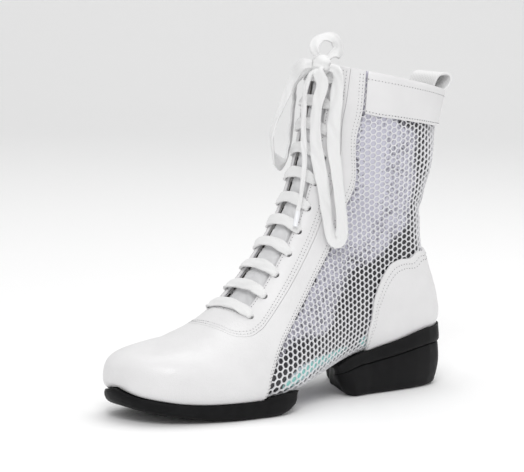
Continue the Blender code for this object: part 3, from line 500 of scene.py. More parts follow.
def leather_panel(name, places, rims, skived, finish, node):
    """A leather panel over both halves of the skin, skived thin towards the cut edges that show."""
    outer, inner = [], []
    for side in (-1, 1):
        station, turn = places[side][..., 0], places[side][..., 1]
        base = skin(side, station, turn)
        thin = 1 - ease(0.0, SKIVE_REACH, rim_distance(base, skived))
        outer.append(draped(side, station, turn, LEATHER - SKIVE_DEPTH * thin))
        inner.append(draped(side, station, turn, np.full(station.shape, 0.0002)))
    piece = add_piece(name, shell(outer, inner, rims), [finish], [node])
    round_edges(piece, 0.0003)
    return piece


RIBBON_EDGE = [(-.5, .0), (-.485, .36), (-.44, .5), (-.30, .5), (-.16, .5), (0, .5), (.16, .5), (.30, .5),
               (.44, .5), (.485, .36)]


def ribbon(centre, across, lift, widths, thickness, ripple=0.00025, phase=0.0):
    """A flat lace with soft folds along it and its texture laid along it in metres."""
    bm = bmesh.new()
    uv = bm.loops.layers.uv.new("along")
    profile = RIBBON_EDGE + [(-u, -v) for u, v in RIBBON_EDGE]
    reach = travelled(centre)
    rings = []
    for p, a, n, w, s in zip(centre, across, lift, widths, reach):
        swing = phase + 2.2 * math.sin(s * 190 + phase) + s * 120
        rings.append([bm.verts.new(p + a * w * u + n * (thickness * v + ripple * math.sin(9 * u + swing)))
                      for u, v in profile])
    count = len(profile)
    for i in range(len(rings) - 1):
        for k in range(count):
            face = bm.faces.new((rings[i][k], rings[i][(k + 1) % count],
                                 rings[i + 1][(k + 1) % count], rings[i + 1][k]))
            spots = ((i, k), (i, k + 1), (i + 1, k + 1), (i + 1, k))
            for loop, (row, column) in zip(face.loops, spots):
                loop[uv].uv = (profile[column % count][0] * widths[row], reach[row])
    bm.faces.new(rings[0])
    bm.faces.new(rings[-1][::-1])
    bmesh.ops.recalc_face_normals(bm, faces=bm.faces)
    return bm


def tube_run(bm, centre, ups, half_width, half_height, sides=10):
    """A tube of oval section along centre; ups gives the direction of its height."""
    run = unit(np.gradient(centre, axis=0))
    width_way = unit(np.cross(run, ups))
    height_way = unit(np.cross(width_way, run))
    angles = np.linspace(0, 2 * math.pi, sides, endpoint=False)
    rings = [[bm.verts.new(p + w * half_width * math.cos(a) + h * half_height * math.sin(a)) for a in angles]
             for p, w, h in zip(centre, width_way, height_way)]
    add_rings(bm, rings)
    bm.faces.new(rings[0][::-1])
    bm.faces.new(rings[-1])


def new_finish(name, colour, roughness, metallic=0.0, sheen=0.0, coat=0.0, specular=0.5):
    """A node material with its plain values on the shader itself."""
    finish = bpy.data.materials.new(name)
    finish.use_nodes = True
    shader = finish.node_tree.nodes["Principled BSDF"]
    shader.inputs["Base Color"].default_value = (*colour, 1.0)
    shader.inputs["Roughness"].default_value = roughness
    shader.inputs["Metallic"].default_value = metallic
    shader.inputs["Sheen Weight"].default_value = sheen
    shader.inputs["Coat Weight"].default_value = coat
    shader.inputs["Specular IOR Level"].default_value = specular
    return finish, finish.node_tree.nodes, finish.node_tree.links, shader


def add_noise(nodes, links, source, scale, detail=3.0, kind="ShaderNodeTexNoise"):
    texture = nodes.new(kind)
    texture.inputs["Scale"].default_value = scale
    if kind == "ShaderNodeTexNoise":
        texture.inputs["Detail"].default_value = detail
    links.new(source, texture.inputs["Vector"])
    return texture


def add_range(nodes, links, value, low, high, from_low=0.3, from_high=0.7):
    spread = nodes.new("ShaderNodeMapRange")
    spread.inputs["From Min"].default_value = from_low
    spread.inputs["From Max"].default_value = from_high
    spread.inputs["To Min"].default_value = low
    spread.inputs["To Max"].default_value = high
    links.new(value, spread.inputs["Value"])
    return spread.outputs["Result"]


def add_bump(nodes, links, shader, heights, distance):
    """Chain bumps, one for each (height socket, strength)."""
    last = None
    for height, strength in heights:
        bump = nodes.new("ShaderNodeBump")
        bump.inputs["Strength"].default_value = strength
        bump.inputs["Distance"].default_value = distance
        links.new(height, bump.inputs["Height"])
        if last:
            links.new(last.outputs["Normal"], bump.inputs["Normal"])
        last = bump
    links.new(last.outputs["Normal"], shader.inputs["Normal"])


def tint_by(nodes, links, shader, value, first, second):
    """Colour a finish between two shades by a value from 0 to 1."""
    mix = nodes.new("ShaderNodeMix")
    mix.data_type = "RGBA"
    mix.inputs[6].default_value = (*first, 1.0)
    mix.inputs[7].default_value = (*second, 1.0)
    links.new(value, mix.inputs["Factor"])
    links.new(mix.outputs[2], shader.inputs["Base Color"])


def darker(colour, share):
    return tuple(c * share for c in colour)


def leather_finish(name, colour):
    finish, nodes, links, shader = new_finish(name, colour, 0.38, coat=0.12)
    place = nodes.new("ShaderNodeTexCoord").outputs["Object"]
    pores = add_noise(nodes, links, place, 1500, kind="ShaderNodeTexVoronoi")
    grain = add_noise(nodes, links, place, 420, 4.0)
    broad = add_noise(nodes, links, place, 46, 2.0)
    tint_by(nodes, links, shader, add_range(nodes, links, broad.outputs["Fac"], 0, 1),
            darker(colour, 0.95), colour)
    links.new(add_range(nodes, links, grain.outputs["Fac"], 0.33, 0.46), shader.inputs["Roughness"])
    add_bump(nodes, links, shader, [(pores.outputs["Distance"], 0.26), (grain.outputs["Fac"], 0.32),
                                    (broad.outputs["Fac"], 0.5)], 0.0003)
    return finish


def net_finish(name, colour):
    finish, nodes, links, shader = new_finish(name, colour, 0.48, sheen=0.2)
    place = nodes.new("ShaderNodeTexCoord").outputs["Object"]
    threads = add_noise(nodes, links, place, 2600, 2.0)
    add_bump(nodes, links, shader, [(threads.outputs["Fac"], 0.3)], 0.0002)
    broad = add_noise(nodes, links, place, 90, 2.0)
    tint_by(nodes, links, shader, add_range(nodes, links, broad.outputs["Fac"], 0, 1),
            darker(colour, 0.93), colour)
    return finish


def film_finish(name, light, dark, tint):
    """Glossy film under the net with light and shade painted on: the points' own shade says how dark it looks
    there (painted shade and dark reflection), noise adds painted shadows of the strands, and the points' hue
    paints a teal sheen.
    """
    finish, nodes, links, shader = new_finish(name, light, 0.28, metallic=0.35, coat=0.4)
    shade = nodes.new("ShaderNodeAttribute")
    shade.attribute_name = "shade"
    hue = nodes.new("ShaderNodeAttribute")
    hue.attribute_name = "hue"
    place = nodes.new("ShaderNodeTexCoord").outputs["Object"]
    # The ripple paints soft patches of shade into the colour as well as bumping the film; the finer noise
    # paints the small shadows that the strands cast into the holes
    ripple = add_noise(nodes, links, place, 260, 2.0)
    strand_shadow_speckle = add_noise(nodes, links, place, 620, 1.0)
    swing = shade.outputs["Fac"]
    for texture, share in ((ripple, 0.40), (strand_shadow_speckle, 0.70)):
        added = nodes.new("ShaderNodeMath")
        added.operation = "MULTIPLY_ADD"
        added.inputs[1].default_value = share
        links.new(texture.outputs["Fac"], added.inputs[0])
        links.new(swing, added.inputs[2])
        swing = added.outputs[0]
    factor = add_range(nodes, links, swing, 0, 1, 0.56, 0.90)
    glow = nodes.new("ShaderNodeMix")
    glow.data_type = "RGBA"
    glow.inputs[6].default_value = (*light, 1.0)
    glow.inputs[7].default_value = (*tint, 1.0)
    links.new(hue.outputs["Fac"], glow.inputs["Factor"])
    mix = nodes.new("ShaderNodeMix")
    mix.data_type = "RGBA"
    mix.inputs[7].default_value = (*dark, 1.0)
    links.new(factor, mix.inputs["Factor"])
    links.new(glow.outputs[2], mix.inputs[6])
    links.new(mix.outputs[2], shader.inputs["Base Color"])
    add_bump(nodes, links, shader, [(ripple.outputs["Fac"], 0.3)], 0.0006)
    return finish


def woven_finish(name, colour, roughness=0.8, threads=1900.0):
    """Flat woven lace or webbing, with its twill laid along the piece."""
    finish, nodes, links, shader = new_finish(name, colour, roughness, sheen=0.3)
    lay = nodes.new("ShaderNodeUVMap")
    lay.uv_map = "along"
    bands = []
    for angle in (0.9, -0.9):
        turn = nodes.new("ShaderNodeMapping")
        turn.inputs["Rotation"].default_value = (0, 0, angle)
        links.new(lay.outputs["UV"], turn.inputs["Vector"])
        wave = nodes.new("ShaderNodeTexWave")
        wave.inputs["Scale"].default_value = threads / 6.5
        wave.inputs["Distortion"].default_value = 0.4
        links.new(turn.outputs["Vector"], wave.inputs["Vector"])
        bands.append((wave.outputs["Fac"], 0.35))
    add_bump(nodes, links, shader, bands, 0.0002)
    return finish


def cloth_finish(name, colour, threads=1500.0, roughness=0.85, strength=0.3):
    finish, nodes, links, shader = new_finish(name, colour, roughness, sheen=0.25)
    place = nodes.new("ShaderNodeTexCoord").outputs["Object"]
    weave = add_noise(nodes, links, place, threads, 2.0)
    broad = add_noise(nodes, links, place, 70, 3.0)
    tint_by(nodes, links, shader, add_range(nodes, links, broad.outputs["Fac"], 0, 1),
            darker(colour, 0.93), colour)
    add_bump(nodes, links, shader, [(weave.outputs["Fac"], strength), (broad.outputs["Fac"], 0.25)], 0.0004)
    return finish


def rubber_finish(name, colour):
    finish, nodes, links, shader = new_finish(name, colour, 0.45, specular=0.14)
    place = nodes.new("ShaderNodeTexCoord").outputs["Object"]
    dust = add_noise(nodes, links, place, 160, 4.0)
    grain = add_noise(nodes, links, place, 2200, 2.0)
    links.new(add_range(nodes, links, dust.outputs["Fac"], 0.42, 0.62), shader.inputs["Roughness"])
    tint_by(nodes, links, shader, add_range(nodes, links, dust.outputs["Fac"], 0, 1, 0.4, 0.8),
            colour, tuple(c * 1.6 + 0.002 for c in colour))
    add_bump(nodes, links, shader, [(grain.outputs["Fac"], 0.25)], 0.0003)
    return finish


FINISHES = {}


def finish(name):
    """The boot's finishes, each made once from the colours in the sidebar."""
    shades = colours()
    makers = {
        "white_leather": lambda: leather_finish("white_leather", shades.leather),
        "thread": lambda: cloth_finish("white_thread", shades.thread, 4000.0, 0.7),
        "net": lambda: net_finish("white_net", shades.net),
        "film": lambda: film_finish("film", shades.film_light, shades.film_dark, shades.film_tint),
        "lining": lambda: cloth_finish("grey_lining", shades.lining, 1600.0, 0.9),
        "lace": lambda: woven_finish("white_lace", shades.lace),
        "webbing": lambda: woven_finish("white_webbing", shades.lace, 0.75, 1200.0),
        "tongue": lambda: cloth_finish("tongue_cloth", shades.tongue, 1300.0, 0.7, 0.22),
        "rubber": lambda: rubber_finish("black_rubber", shades.rubber),
        "footbed": lambda: cloth_finish("footbed_cloth", shades.footbed, 1400.0, 0.95),
        "needle_hole_shade": lambda: new_finish("needle_hole_shade", shades.needle_hole_shade, 0.9)[0],
        "aglet": lambda: new_finish("clear_tip", (0.86, 0.87, 0.9), 0.15, coat=0.6)[0],
    }
    if name not in FINISHES:
        FINISHES[name] = makers[name]()
    return FINISHES[name]


SKIVE_REACH = 0.0018      # how far in from a cut edge the leather is skived
SKIVE_DEPTH = 0.0006
TOE_COUNT, BEND_COUNT, WING_COUNT = 33, 33, 57
FOOT_BEND = 3.30          # station where the vamp's foot leaves the toe's part of the sole


def vamp_lines():
    """Upper and lower edges of the vamp, from the toe's tip to the collar."""
    toe_line = [(0.0, FRONT), (SEAM_LINE[0][0], FRONT)]
    toe_foot = [(row.station, row.foot) for row in FOREFOOT_EDGE if row.station < FOOT_BEND]
    upper_toe = trace(toe_line, TOE_COUNT, np.linspace(0, 1, TOE_COUNT) ** 1.3)
    upper_toe[0, 1] = UNDER
    foot_end = (FOOT_BEND, edge_turn(FOREFOOT_EDGE, FOOT_BEND, TUCK))
    lower_toe = trace(toe_foot + [foot_end], TOE_COUNT, np.linspace(0, 1, TOE_COUNT) ** 1.2)
    lower_toe[:, 1] = edge_turn(FOREFOOT_EDGE, lower_toe[:, 0], TUCK)
    corner = (MESH_LINE[0][0], edge_turn(FOREFOOT_EDGE, MESH_LINE[0][0], TUCK))
    lower_bend = trace([foot_end, corner, *MESH_LINE[1:4]], BEND_COUNT)
    upper = np.concatenate([upper_toe, trace(SEAM_LINE[:5], BEND_COUNT)[1:],
                            trace(SEAM_LINE[4:], WING_COUNT)[1:]])
    lower = np.concatenate([lower_toe, lower_bend[1:], trace(MESH_LINE[3:], WING_COUNT)[1:]])
    return upper, lower


def eyestay_lines():
    outer = np.concatenate([trace(SEAM_LINE[:5], BEND_COUNT), trace(SEAM_LINE[4:], WING_COUNT)[1:]])
    inner = np.concatenate([trace(THROAT_LINE[:4], BEND_COUNT), trace(THROAT_LINE[3:], WING_COUNT)[1:]])
    return outer, inner


def counter_lines():
    count = 61
    foot = [(row.station, row.foot) for row in HEEL_EDGE if row.station > COUNTER_LINE[0][0]]
    first = (COUNTER_LINE[0][0], edge_turn(HEEL_EDGE, COUNTER_LINE[0][0], TUCK))
    spread = np.linspace(0, 1, count) ** 0.9
    lower = trace([first, *foot], count, spread)
    lower[:, 1] = edge_turn(HEEL_EDGE, lower[:, 0], TUCK)
    return lower, trace(COUNTER_LINE, count, spread)


def band_lines():
    count = 45
    lower = trace(BAND_LINE, count)
    rim = trace([(RIM, MESH_LINE[-1][1]), (RIM, UNDER)], count)
    for line in (lower, rim):
        length = np.linalg.norm(skin(-1, *line[1]) - skin(-1, *line[0]))
        line[0] += (line[1] - line[0]) * SEAM_GAP / length
    return lower, rim


def eyelets():
    return trace(EYELET_LINE, EYELET_PAIRS)


class BootSizes(bpy.types.PropertyGroup):
    """Sizes of the boot's fine parts."""
    lace_width: FloatProperty(name="Lace width", description="Width of the flat lace in its bars",
                              default=0.0072, min=0.002, unit="LENGTH", precision=4)
    lace_thickness: FloatProperty(name="Lace thickness", description="Thickness of the flat lace",
                                  default=0.0017, min=0.0005, unit="LENGTH", precision=4)
    bow_thickness: FloatProperty(name="Bow thickness", description="Thickness of the lace in the bow",
                                 default=0.0013, min=0.0005, unit="LENGTH", precision=4)
    bow_width: FloatProperty(name="Bow width", description="Width of the lace where it lies open in the bow",
                             default=0.0082, min=0.002, unit="LENGTH", precision=4)
    net_pitch: FloatProperty(name="Net pitch", description="Height of one mesh of the net",
                             default=0.0040, min=0.002, unit="LENGTH", precision=4)
    net_column: FloatProperty(name="Net column", description="Distance between two columns of the net",
                              default=0.0037, min=0.002, unit="LENGTH", precision=4)
    strand: FloatProperty(name="Net strand", description="Width of the net's strands",
                          default=0.00062, min=0.0003, unit="LENGTH", precision=5)
    stitch_pitch: FloatProperty(name="Stitch pitch", description="Distance from one stitch to the next",
                                default=0.0022, min=0.001, unit="LENGTH", precision=4)
    stitch_length: FloatProperty(name="Stitch length", description="Length of one stitch",
                                 default=0.0015, min=0.0005, unit="LENGTH", precision=4)
    thread: FloatProperty(name="Thread", description="Thickness of the sewing thread",
                          default=0.00042, min=0.0001, unit="LENGTH", precision=5)
    tongue_swell: FloatProperty(name="Tongue swell", description="How far the tongue swells between two bars",
                                default=0.0009, min=0.0, unit="LENGTH", precision=4)


class BootColours(bpy.types.PropertyGroup):
    """Colours of the boot's finishes."""
    leather: FloatVectorProperty(name="Leather", description="Smooth leather of the panels",
                                 default=(0.78, 0.775, 0.78), subtype="COLOR", size=3)
    net: FloatVectorProperty(name="Net", description="Open net of the quarters",
                             default=(0.82, 0.82, 0.84), subtype="COLOR", size=3)
    film_light: FloatVectorProperty(name="Film, light", description="Film under the net where it shines",
                                    default=(0.58, 0.57, 0.66), subtype="COLOR", size=3)
    film_dark: FloatVectorProperty(name="Film, dark", description="Film under the net where it lies in shade",
                                   default=(0.020, 0.019, 0.024), subtype="COLOR", size=3)
    film_tint: FloatVectorProperty(name="Film, tint", description="Film under the net near the arch",
                                   default=(0.22, 0.62, 0.56), subtype="COLOR", size=3)
    lace: FloatVectorProperty(name="Lace", description="Lace, bow and pull loop",
                              default=(0.80, 0.80, 0.80), subtype="COLOR", size=3)
    thread: FloatVectorProperty(name="Thread", description="Sewing thread",
                                default=(0.78, 0.775, 0.78), subtype="COLOR", size=3)
    tongue: FloatVectorProperty(name="Tongue", description="Padded tongue",
                                default=(0.76, 0.76, 0.77), subtype="COLOR", size=3)
    rubber: FloatVectorProperty(name="Rubber", description="Both soles",
                                default=(0.0045, 0.0045, 0.005), subtype="COLOR", size=3)
    lining: FloatVectorProperty(name="Lining", description="Inside of the boot",
                                default=(0.42, 0.41, 0.40), subtype="COLOR", size=3)
    footbed: FloatVectorProperty(name="Footbed", description="Top of the insole",
                                 default=(0.60, 0.57, 0.52), subtype="COLOR", size=3)
    needle_hole_shade: FloatVectorProperty(name="Needle hole", description="Shade in the holes of the needle",
                                     default=(0.07, 0.07, 0.08), subtype="COLOR", size=3)
    floor: FloatVectorProperty(name="Floor", description="Pale floor and backdrop",
                               default=(0.97, 0.97, 0.97), subtype="COLOR", size=3)


CAMERA_PLACE = (-1.0154, -1.0980, 0.3183)
CAMERA_TURN, CAMERA_DIP, CAMERA_TIP = math.radians(-40), math.radians(9.28), 0.0245
CAMERA_LENS = 157.6
WORLD_STRENGTH = 0.60
Lamp = namedtuple("Lamp", "name place aim size power")
LAMPS = [Lamp(*row) for row in [
    ("key_light", (-0.9, -0.9, 1.3), (0, 0, 0.08), 0.7, 10.0),
    ("top_light", (0.2, 0.2, 1.6), (0, 0, 0.1), 1.2, 8.0),
    ("rear_light", (1.0, -0.5, 0.7), (0, 0, 0.1), 0.6, 1.6)]]
FLOOR_REACH, FLOOR_RUN, FLOOR_RISE, FLOOR_BEND = 3.0, 2.2, 2.6, 0.6


class BOOT_OT_stage(bpy.types.Operator):
    """Make the camera, the soft studio light and the pale floor"""
    bl_idname = "boot.stage"
    bl_label = "Stage"

    def execute(self, context):
        scene = context.scene
        lens = bpy.data.cameras.new("camera")
        lens.lens = CAMERA_LENS
        lens.clip_start, lens.clip_end = 0.05, 20
        camera = new_object("camera", lens)
        turn = CAMERA_TURN
        ahead = Vector((-math.sin(turn) * math.cos(CAMERA_DIP), math.cos(turn) * math.cos(CAMERA_DIP),
                        -math.sin(CAMERA_DIP)))
        right = Vector((math.cos(turn), math.sin(turn), 0))
        tip = Matrix(((1, 0, -CAMERA_TIP), (0, 1, 0), (CAMERA_TIP, 0, 1)))
        ahead, right = (tip @ ahead).normalized(), (tip @ right).normalized()
        above = right.cross(ahead).normalized()
        right = ahead.cross(above)
        facing = Matrix((right, above, -ahead)).transposed().to_4x4()
        camera.matrix_world = Matrix.Translation(CAMERA_PLACE) @ facing
        scene.camera = camera
        world = bpy.data.worlds.new("studio")
        world.use_nodes = True
        world.node_tree.nodes["Background"].inputs["Color"].default_value = (1.0, 1.0, 1.0, 1)
        world.node_tree.nodes["Background"].inputs["Strength"].default_value = WORLD_STRENGTH
        scene.world = world
        scene.view_settings.view_transform = "Standard"
        for name, place, aim, size, power in LAMPS:
            lamp = bpy.data.lights.new(name, "AREA")
            lamp.energy = power
            lamp.size = size
            light = new_object(name, lamp)
            light.location = place
            light.rotation_euler = (Vector(aim) - Vector(place)).to_track_quat("-Z", "Y").to_euler()
        bm = bmesh.new()
        path = [(-FLOOR_REACH, 0.0), (FLOOR_RUN - FLOOR_BEND, 0.0)]
        path += [(FLOOR_RUN - FLOOR_BEND + FLOOR_BEND * math.sin(a), FLOOR_BEND - FLOOR_BEND * math.cos(a))
                 for a in np.linspace(0.2, math.pi / 2, 8)]
        path += [(FLOOR_RUN, FLOOR_RISE)]
        away = Vector((ahead.x, ahead.y, 0)).normalized()
        aside = Vector((-away.y, away.x, 0))
        rows = [[bm.verts.new(away * d + aside * s + Vector((0, 0, h))) for s in (-FLOOR_REACH, FLOOR_REACH)]
                for d, h in path]
        for a, b in zip(rows, rows[1:]):
            bm.faces.new((a[0], b[0], b[1], a[1]))
        mesh = mesh_from(bm, "floor")
        mesh.shade_smooth()
        pale, nodes, links, shader = new_finish("pale_floor", colours().floor, 0.8, specular=0.2)
        place = nodes.new("ShaderNodeTexCoord").outputs["Object"]
        add_bump(nodes, links, shader, [(add_noise(nodes, links, place, 300).outputs["Fac"], 0.03)], 0.001)
        mesh.materials.append(pale)
        floor = new_object("floor", mesh)
        return {"FINISHED"}


BAR_RISE = ((-.0036, .50), (-.0012, .52), (.0012, .58), (.0026, .68))     # height in the hole, width share
BAR_STEPS = (.0012, .0030, .0050)     # places of a bar between its hole and the throat, in metres
BAR_THROAT = .0070
NEAR_TURN = .1


def bar_path(station, turn):
    """Centre, outward direction and width share of one bar, from inside one hole to the other."""
    throat = np.array(THROAT_LINE)[2:]
    edge = float(np.interp(station, throat[:, 0], throat[:, 1]))
    halves = []
    for side in (-1, 1):
        dip = LACE_DIP * min((station - THROAT_END) / 0.6, 1.0)
        points, lift, wide = [], [], []
        hole = skin(side, station, turn)
        hole_out = normal(side, station, turn)
        inward = skin(side, station, turn + NEAR_TURN) - hole
        pitch = np.linalg.norm(inward) / NEAR_TURN
        for height, share in BAR_RISE:
            points.append(hole + hole_out * height)
            lift.append(unit(inward) * -1)
            wide.append(share)
        for place in np.concatenate([[turn + step / pitch for step in BAR_STEPS],
                                     np.linspace(max(edge, turn + BAR_THROAT / pitch), FRONT, 6)]):
            crown = np.clip((place - edge) / (FRONT - edge), 0, 1)
            height = LACE_SEAT - dip * (3 * crown ** 2 - 2 * crown ** 3)
            points.append(lifted(side, station, place, height))
            lift.append(normal(side, station, place))
            wide.append(.76 + .24 * ease(.0010, .0055, (place - turn) * pitch))
        halves.append((points, lift, wide))
    (near, near_lift, near_wide), (far, far_lift, far_wide) = halves
    return (np.array(near + far[-2::-1]), np.array(near_lift + far_lift[-2::-1]),
            np.array(near_wide + far_wide[-2::-1]))


def leaning(centre, out, lean):
    """Across and outward directions of a lace along centre, tipped to one side by lean."""
    run = unit(np.gradient(centre, axis=0))
    across = unit(np.cross(run, out))
    tipped = unit(across + unit(np.cross(across, run)) * lean[:, None])
    return tipped, unit(np.cross(tipped, run))


class BOOT_OT_laces(bpy.types.Operator):
    """Lay the straight bars of lace from hole to hole"""
    bl_idname = "boot.laces"
    bl_label = "Lace bars"

    def execute(self, context):
        sizes = settings()
        for number, (station, turn) in enumerate(eyelets(), start=1):
            points, lift, wide = bar_path(station, turn)
            reach = travelled(points)
            at = np.linspace(0, reach[-1], 57)
            centre = smooth_at(points, reach, at)
            out = unit(smooth_at(lift, reach, at))
            share = np.interp(at, reach, wide)
            wobble = 1 + 0.05 * np.sin(at * 420 + number * 2.1)
            across, up = leaning(centre, out, 0.16 * np.sin(at * 170 + number * 1.7))
            bm = ribbon(centre, across, up, sizes.lace_width * share * wobble, sizes.lace_thickness,
                        BAR_RIPPLE, number * 1.3)
            add_piece(f"lace_run_{number:02d}", bm, [finish("lace")], [f"lace_bar_{number:02d}"],
                      55)
        return {"FINISHED"}


KNOT_PLACE = (-1, 16.9, 3.86)
KNOT_FRONT = (-1, 16.5, 3.9)
KNOT_SIZE = (0.0105, 0.0150, 0.0130)
KNOT_SINK = 0.0008
CORD_GAP = 0.0003
CORD_LEAD = 0.003         # straight start of a strand out of the knot
BAR_RIPPLE, BOW_RIPPLE = 0.00028, 0.00035
FREE_END_WIDTH = 0.0042
PINCH_SHARE, PINCH_REACH = 0.70, 0.012     # width share of a strand at the knot, and how far it takes to open
Strand = namedtuple("Strand", "name leave rows back")
STRANDS = [Strand(*row) for row in [
    ("bow_loop_inner", (-.75, .65, .10), [
        (1, 15.8, 3.83, .0145), (1, 14.0, 3.81, .0170), (1, 12.2, 3.82, .0193), (1, 10.6, 3.81, .0190),
        (1, 9.6, 3.74, .0125), (1, 9.6, 3.63, .0070), (1, 10.6, 3.55, .0062), (1, 12.7, 3.52, .0070),
        (1, 14.7, 3.55, .0073), (1, 15.9, 3.62, .0078)], (.12, .98, -.10)),
    ("bow_loop_outer", (-.70, -.65, -.30), [
        (-1, 15.8, 3.75, .0125), (-1, 14.5, 3.76, .0120), (-1, 13.1, 3.76, .0112), (-1, 11.3, 3.72, .0096),
        (-1, 10.0, 3.62, .0079), (-1, 9.2, 3.46, .0072), (-1, 8.5, 3.28, .0072), (-1, 8.0, 3.064, .0075),
        (-1, 7.95, 2.995, .0076), (-1, 8.05, 2.933, .0079), (-1, 8.24, 2.917, .0082),
        (-1, 8.42, 2.949, .0084), (-1, 9.4, 3.22, .0091), (-1, 10.3, 3.38, .0090),
        (-1, 11.8, 3.49, .0088), (-1, 13.5, 3.51, .0087), (-1, 15.2, 3.56, .0080)], (.15, -.97, -.15)),
    ("lace_end_outer", (-.75, .15, -.64), [
        (-1, 15.7, 3.92, .0145), (-1, 14.4, 3.93, .0135), (-1, 12.5, 3.91, .0115), (-1, 10.9, 3.86, .0100),
        (-1, 9.7, 3.79, .0095), (-1, 8.8, 3.73, .0095), (-1, 7.8, 3.67, .0090), (-1, 7.1, 3.61, .0078)],
        None),
    ("bow_fold_top", (-.25, .35, .90), [
        (.0010, .0060, .0146), (.0080, .0068, .0168), (.0158, .0055, .0154), (.0188, .0045, .0096)],
        (.80, .15, .58))]]


FOLD_MIDDLE = (.0095, .0060, .0080)
FOLD_FACE = (-.55, -.95, .10)     # the fold over the knot turns its flat side this way


def knot_centre():
    side, station, turn = KNOT_PLACE
    return lifted(side, station, turn, 0.0040 + CORD_GAP - KNOT_SINK + KNOT_SIZE[0] / 2)


def leaving(centre, direction):
    """First two points of a strand that leaves the knot square to its surface."""
    radii = np.array(KNOT_SIZE) / 2
    at = unit(np.array(direction) / radii) * radii
    out = unit(at / radii ** 2)
    return [centre + at + out * CORD_GAP, centre + at + out * (CORD_GAP + CORD_LEAD)]


def strand_path(strand, spacing=0.0016):
    """Centre line of a strand of the bow with the way its flat side faces."""
    centre = knot_centre()
    front = normal(*KNOT_FRONT)
    route, lift = leaving(centre, strand.leave), [front, front]
    for row in strand.rows:
        if len(row) == 4:
            route.append(lifted(*row))
            lift.append(normal(*row[:3]))
        else:
            route.append(centre + np.array(row))
            radial = unit(np.array(row) - np.array(FOLD_MIDDLE))
            facing = 0.35 + 2.6 * ease(.006, .013, row[0])
            lift.append(unit(radial + facing * np.array(FOLD_FACE)))
    if strand.back:
        route += leaving(centre, strand.back)[::-1]
        lift += [front, front]
    route = np.array(route)
    reach = travelled(route)
    at = np.linspace(0, reach[-1], int(reach[-1] / spacing) + 2)
    return smooth_at(route, reach, at), unit(smooth_at(np.array(lift), reach, at)), at


class BOOT_OT_bow(bpy.types.Operator):
    """Tie the bow: its knot, both loops, the free end and the fold on top"""
    bl_idname = "boot.bow"
    bl_label = "Bow"

    def execute(self, context):
        sizes = settings()
        made = {}
        for strand in STRANDS:
            centre, out, at = strand_path(strand)
            free = strand.name == "lace_end_outer"
            width = FREE_END_WIDTH if free else sizes.bow_width
            widths = np.full(len(at), width)
            pinch = np.minimum(at, at[-1] - at if strand.back else at)
            widths *= PINCH_SHARE + 0.30 * ease(0.0, PINCH_REACH, pinch)
            widths *= 1 + 0.06 * np.sin(at * 95 + len(made) * 2)
            if free:
                widths *= 1 - 0.38 * ease(0.25, 1.0, at / at[-1])
            across, up = leaning(centre, out, 0.22 * np.sin(at * 62 + len(made) * 1.9))
            bm = ribbon(centre, across, up, widths, sizes.bow_thickness, BOW_RIPPLE, len(made) * 1.7)
            piece = add_piece(strand.name + "_lace", bm, [finish("lace")], [strand.name], 55)
            made[strand.name] = (piece, centre, out, width)
        knot = self.make_knot()
        tip = self.make_tip(*made["lace_end_outer"][1:3])
        return {"FINISHED"}

    def make_knot(self):
        """Folded bands of lace drawn tight into a small ball."""
        bm = bmesh.new()
        bmesh.ops.create_uvsphere(bm, u_segments=48, v_segments=32, radius=0.5)
        radii = np.array(KNOT_SIZE)
        for vertex in bm.verts:
            x, y, z = vertex.co.normalized()
            wrap = math.sin(9 * (y * 0.8 + z * 0.35)) * 0.045
            hollow = -0.10 * math.exp(-((z - 0.15) / 0.16) ** 2) * max(-x, 0)
            fold = 0.05 * math.cos(7 * (z - y * 0.5))
            vertex.co *= 0.98 + wrap + hollow + fold
        bmesh.ops.scale(bm, vec=radii, verts=bm.verts)
        bmesh.ops.translate(bm, vec=Vector(knot_centre()), verts=bm.verts)
        bm.loops.layers.uv.new("along")
        return add_piece("knot_folds", bm, [finish("lace")], ["lace_knot"], 80)

    def make_tip(self, centre, out):
        """Clear tip on the free end."""
        bm = bmesh.new()
        tail = centre[-7:]
        run = unit(tail[-1] - tail[0])
        points = np.array([tail[0] + run * d for d in np.linspace(0.0005, 0.0105, 6)])
        tube_run(bm, points, np.repeat(out[-1:], 6, 0), 0.0016, 0.0011)
        return add_piece("lace_tip", bm, [finish("aglet")], [])
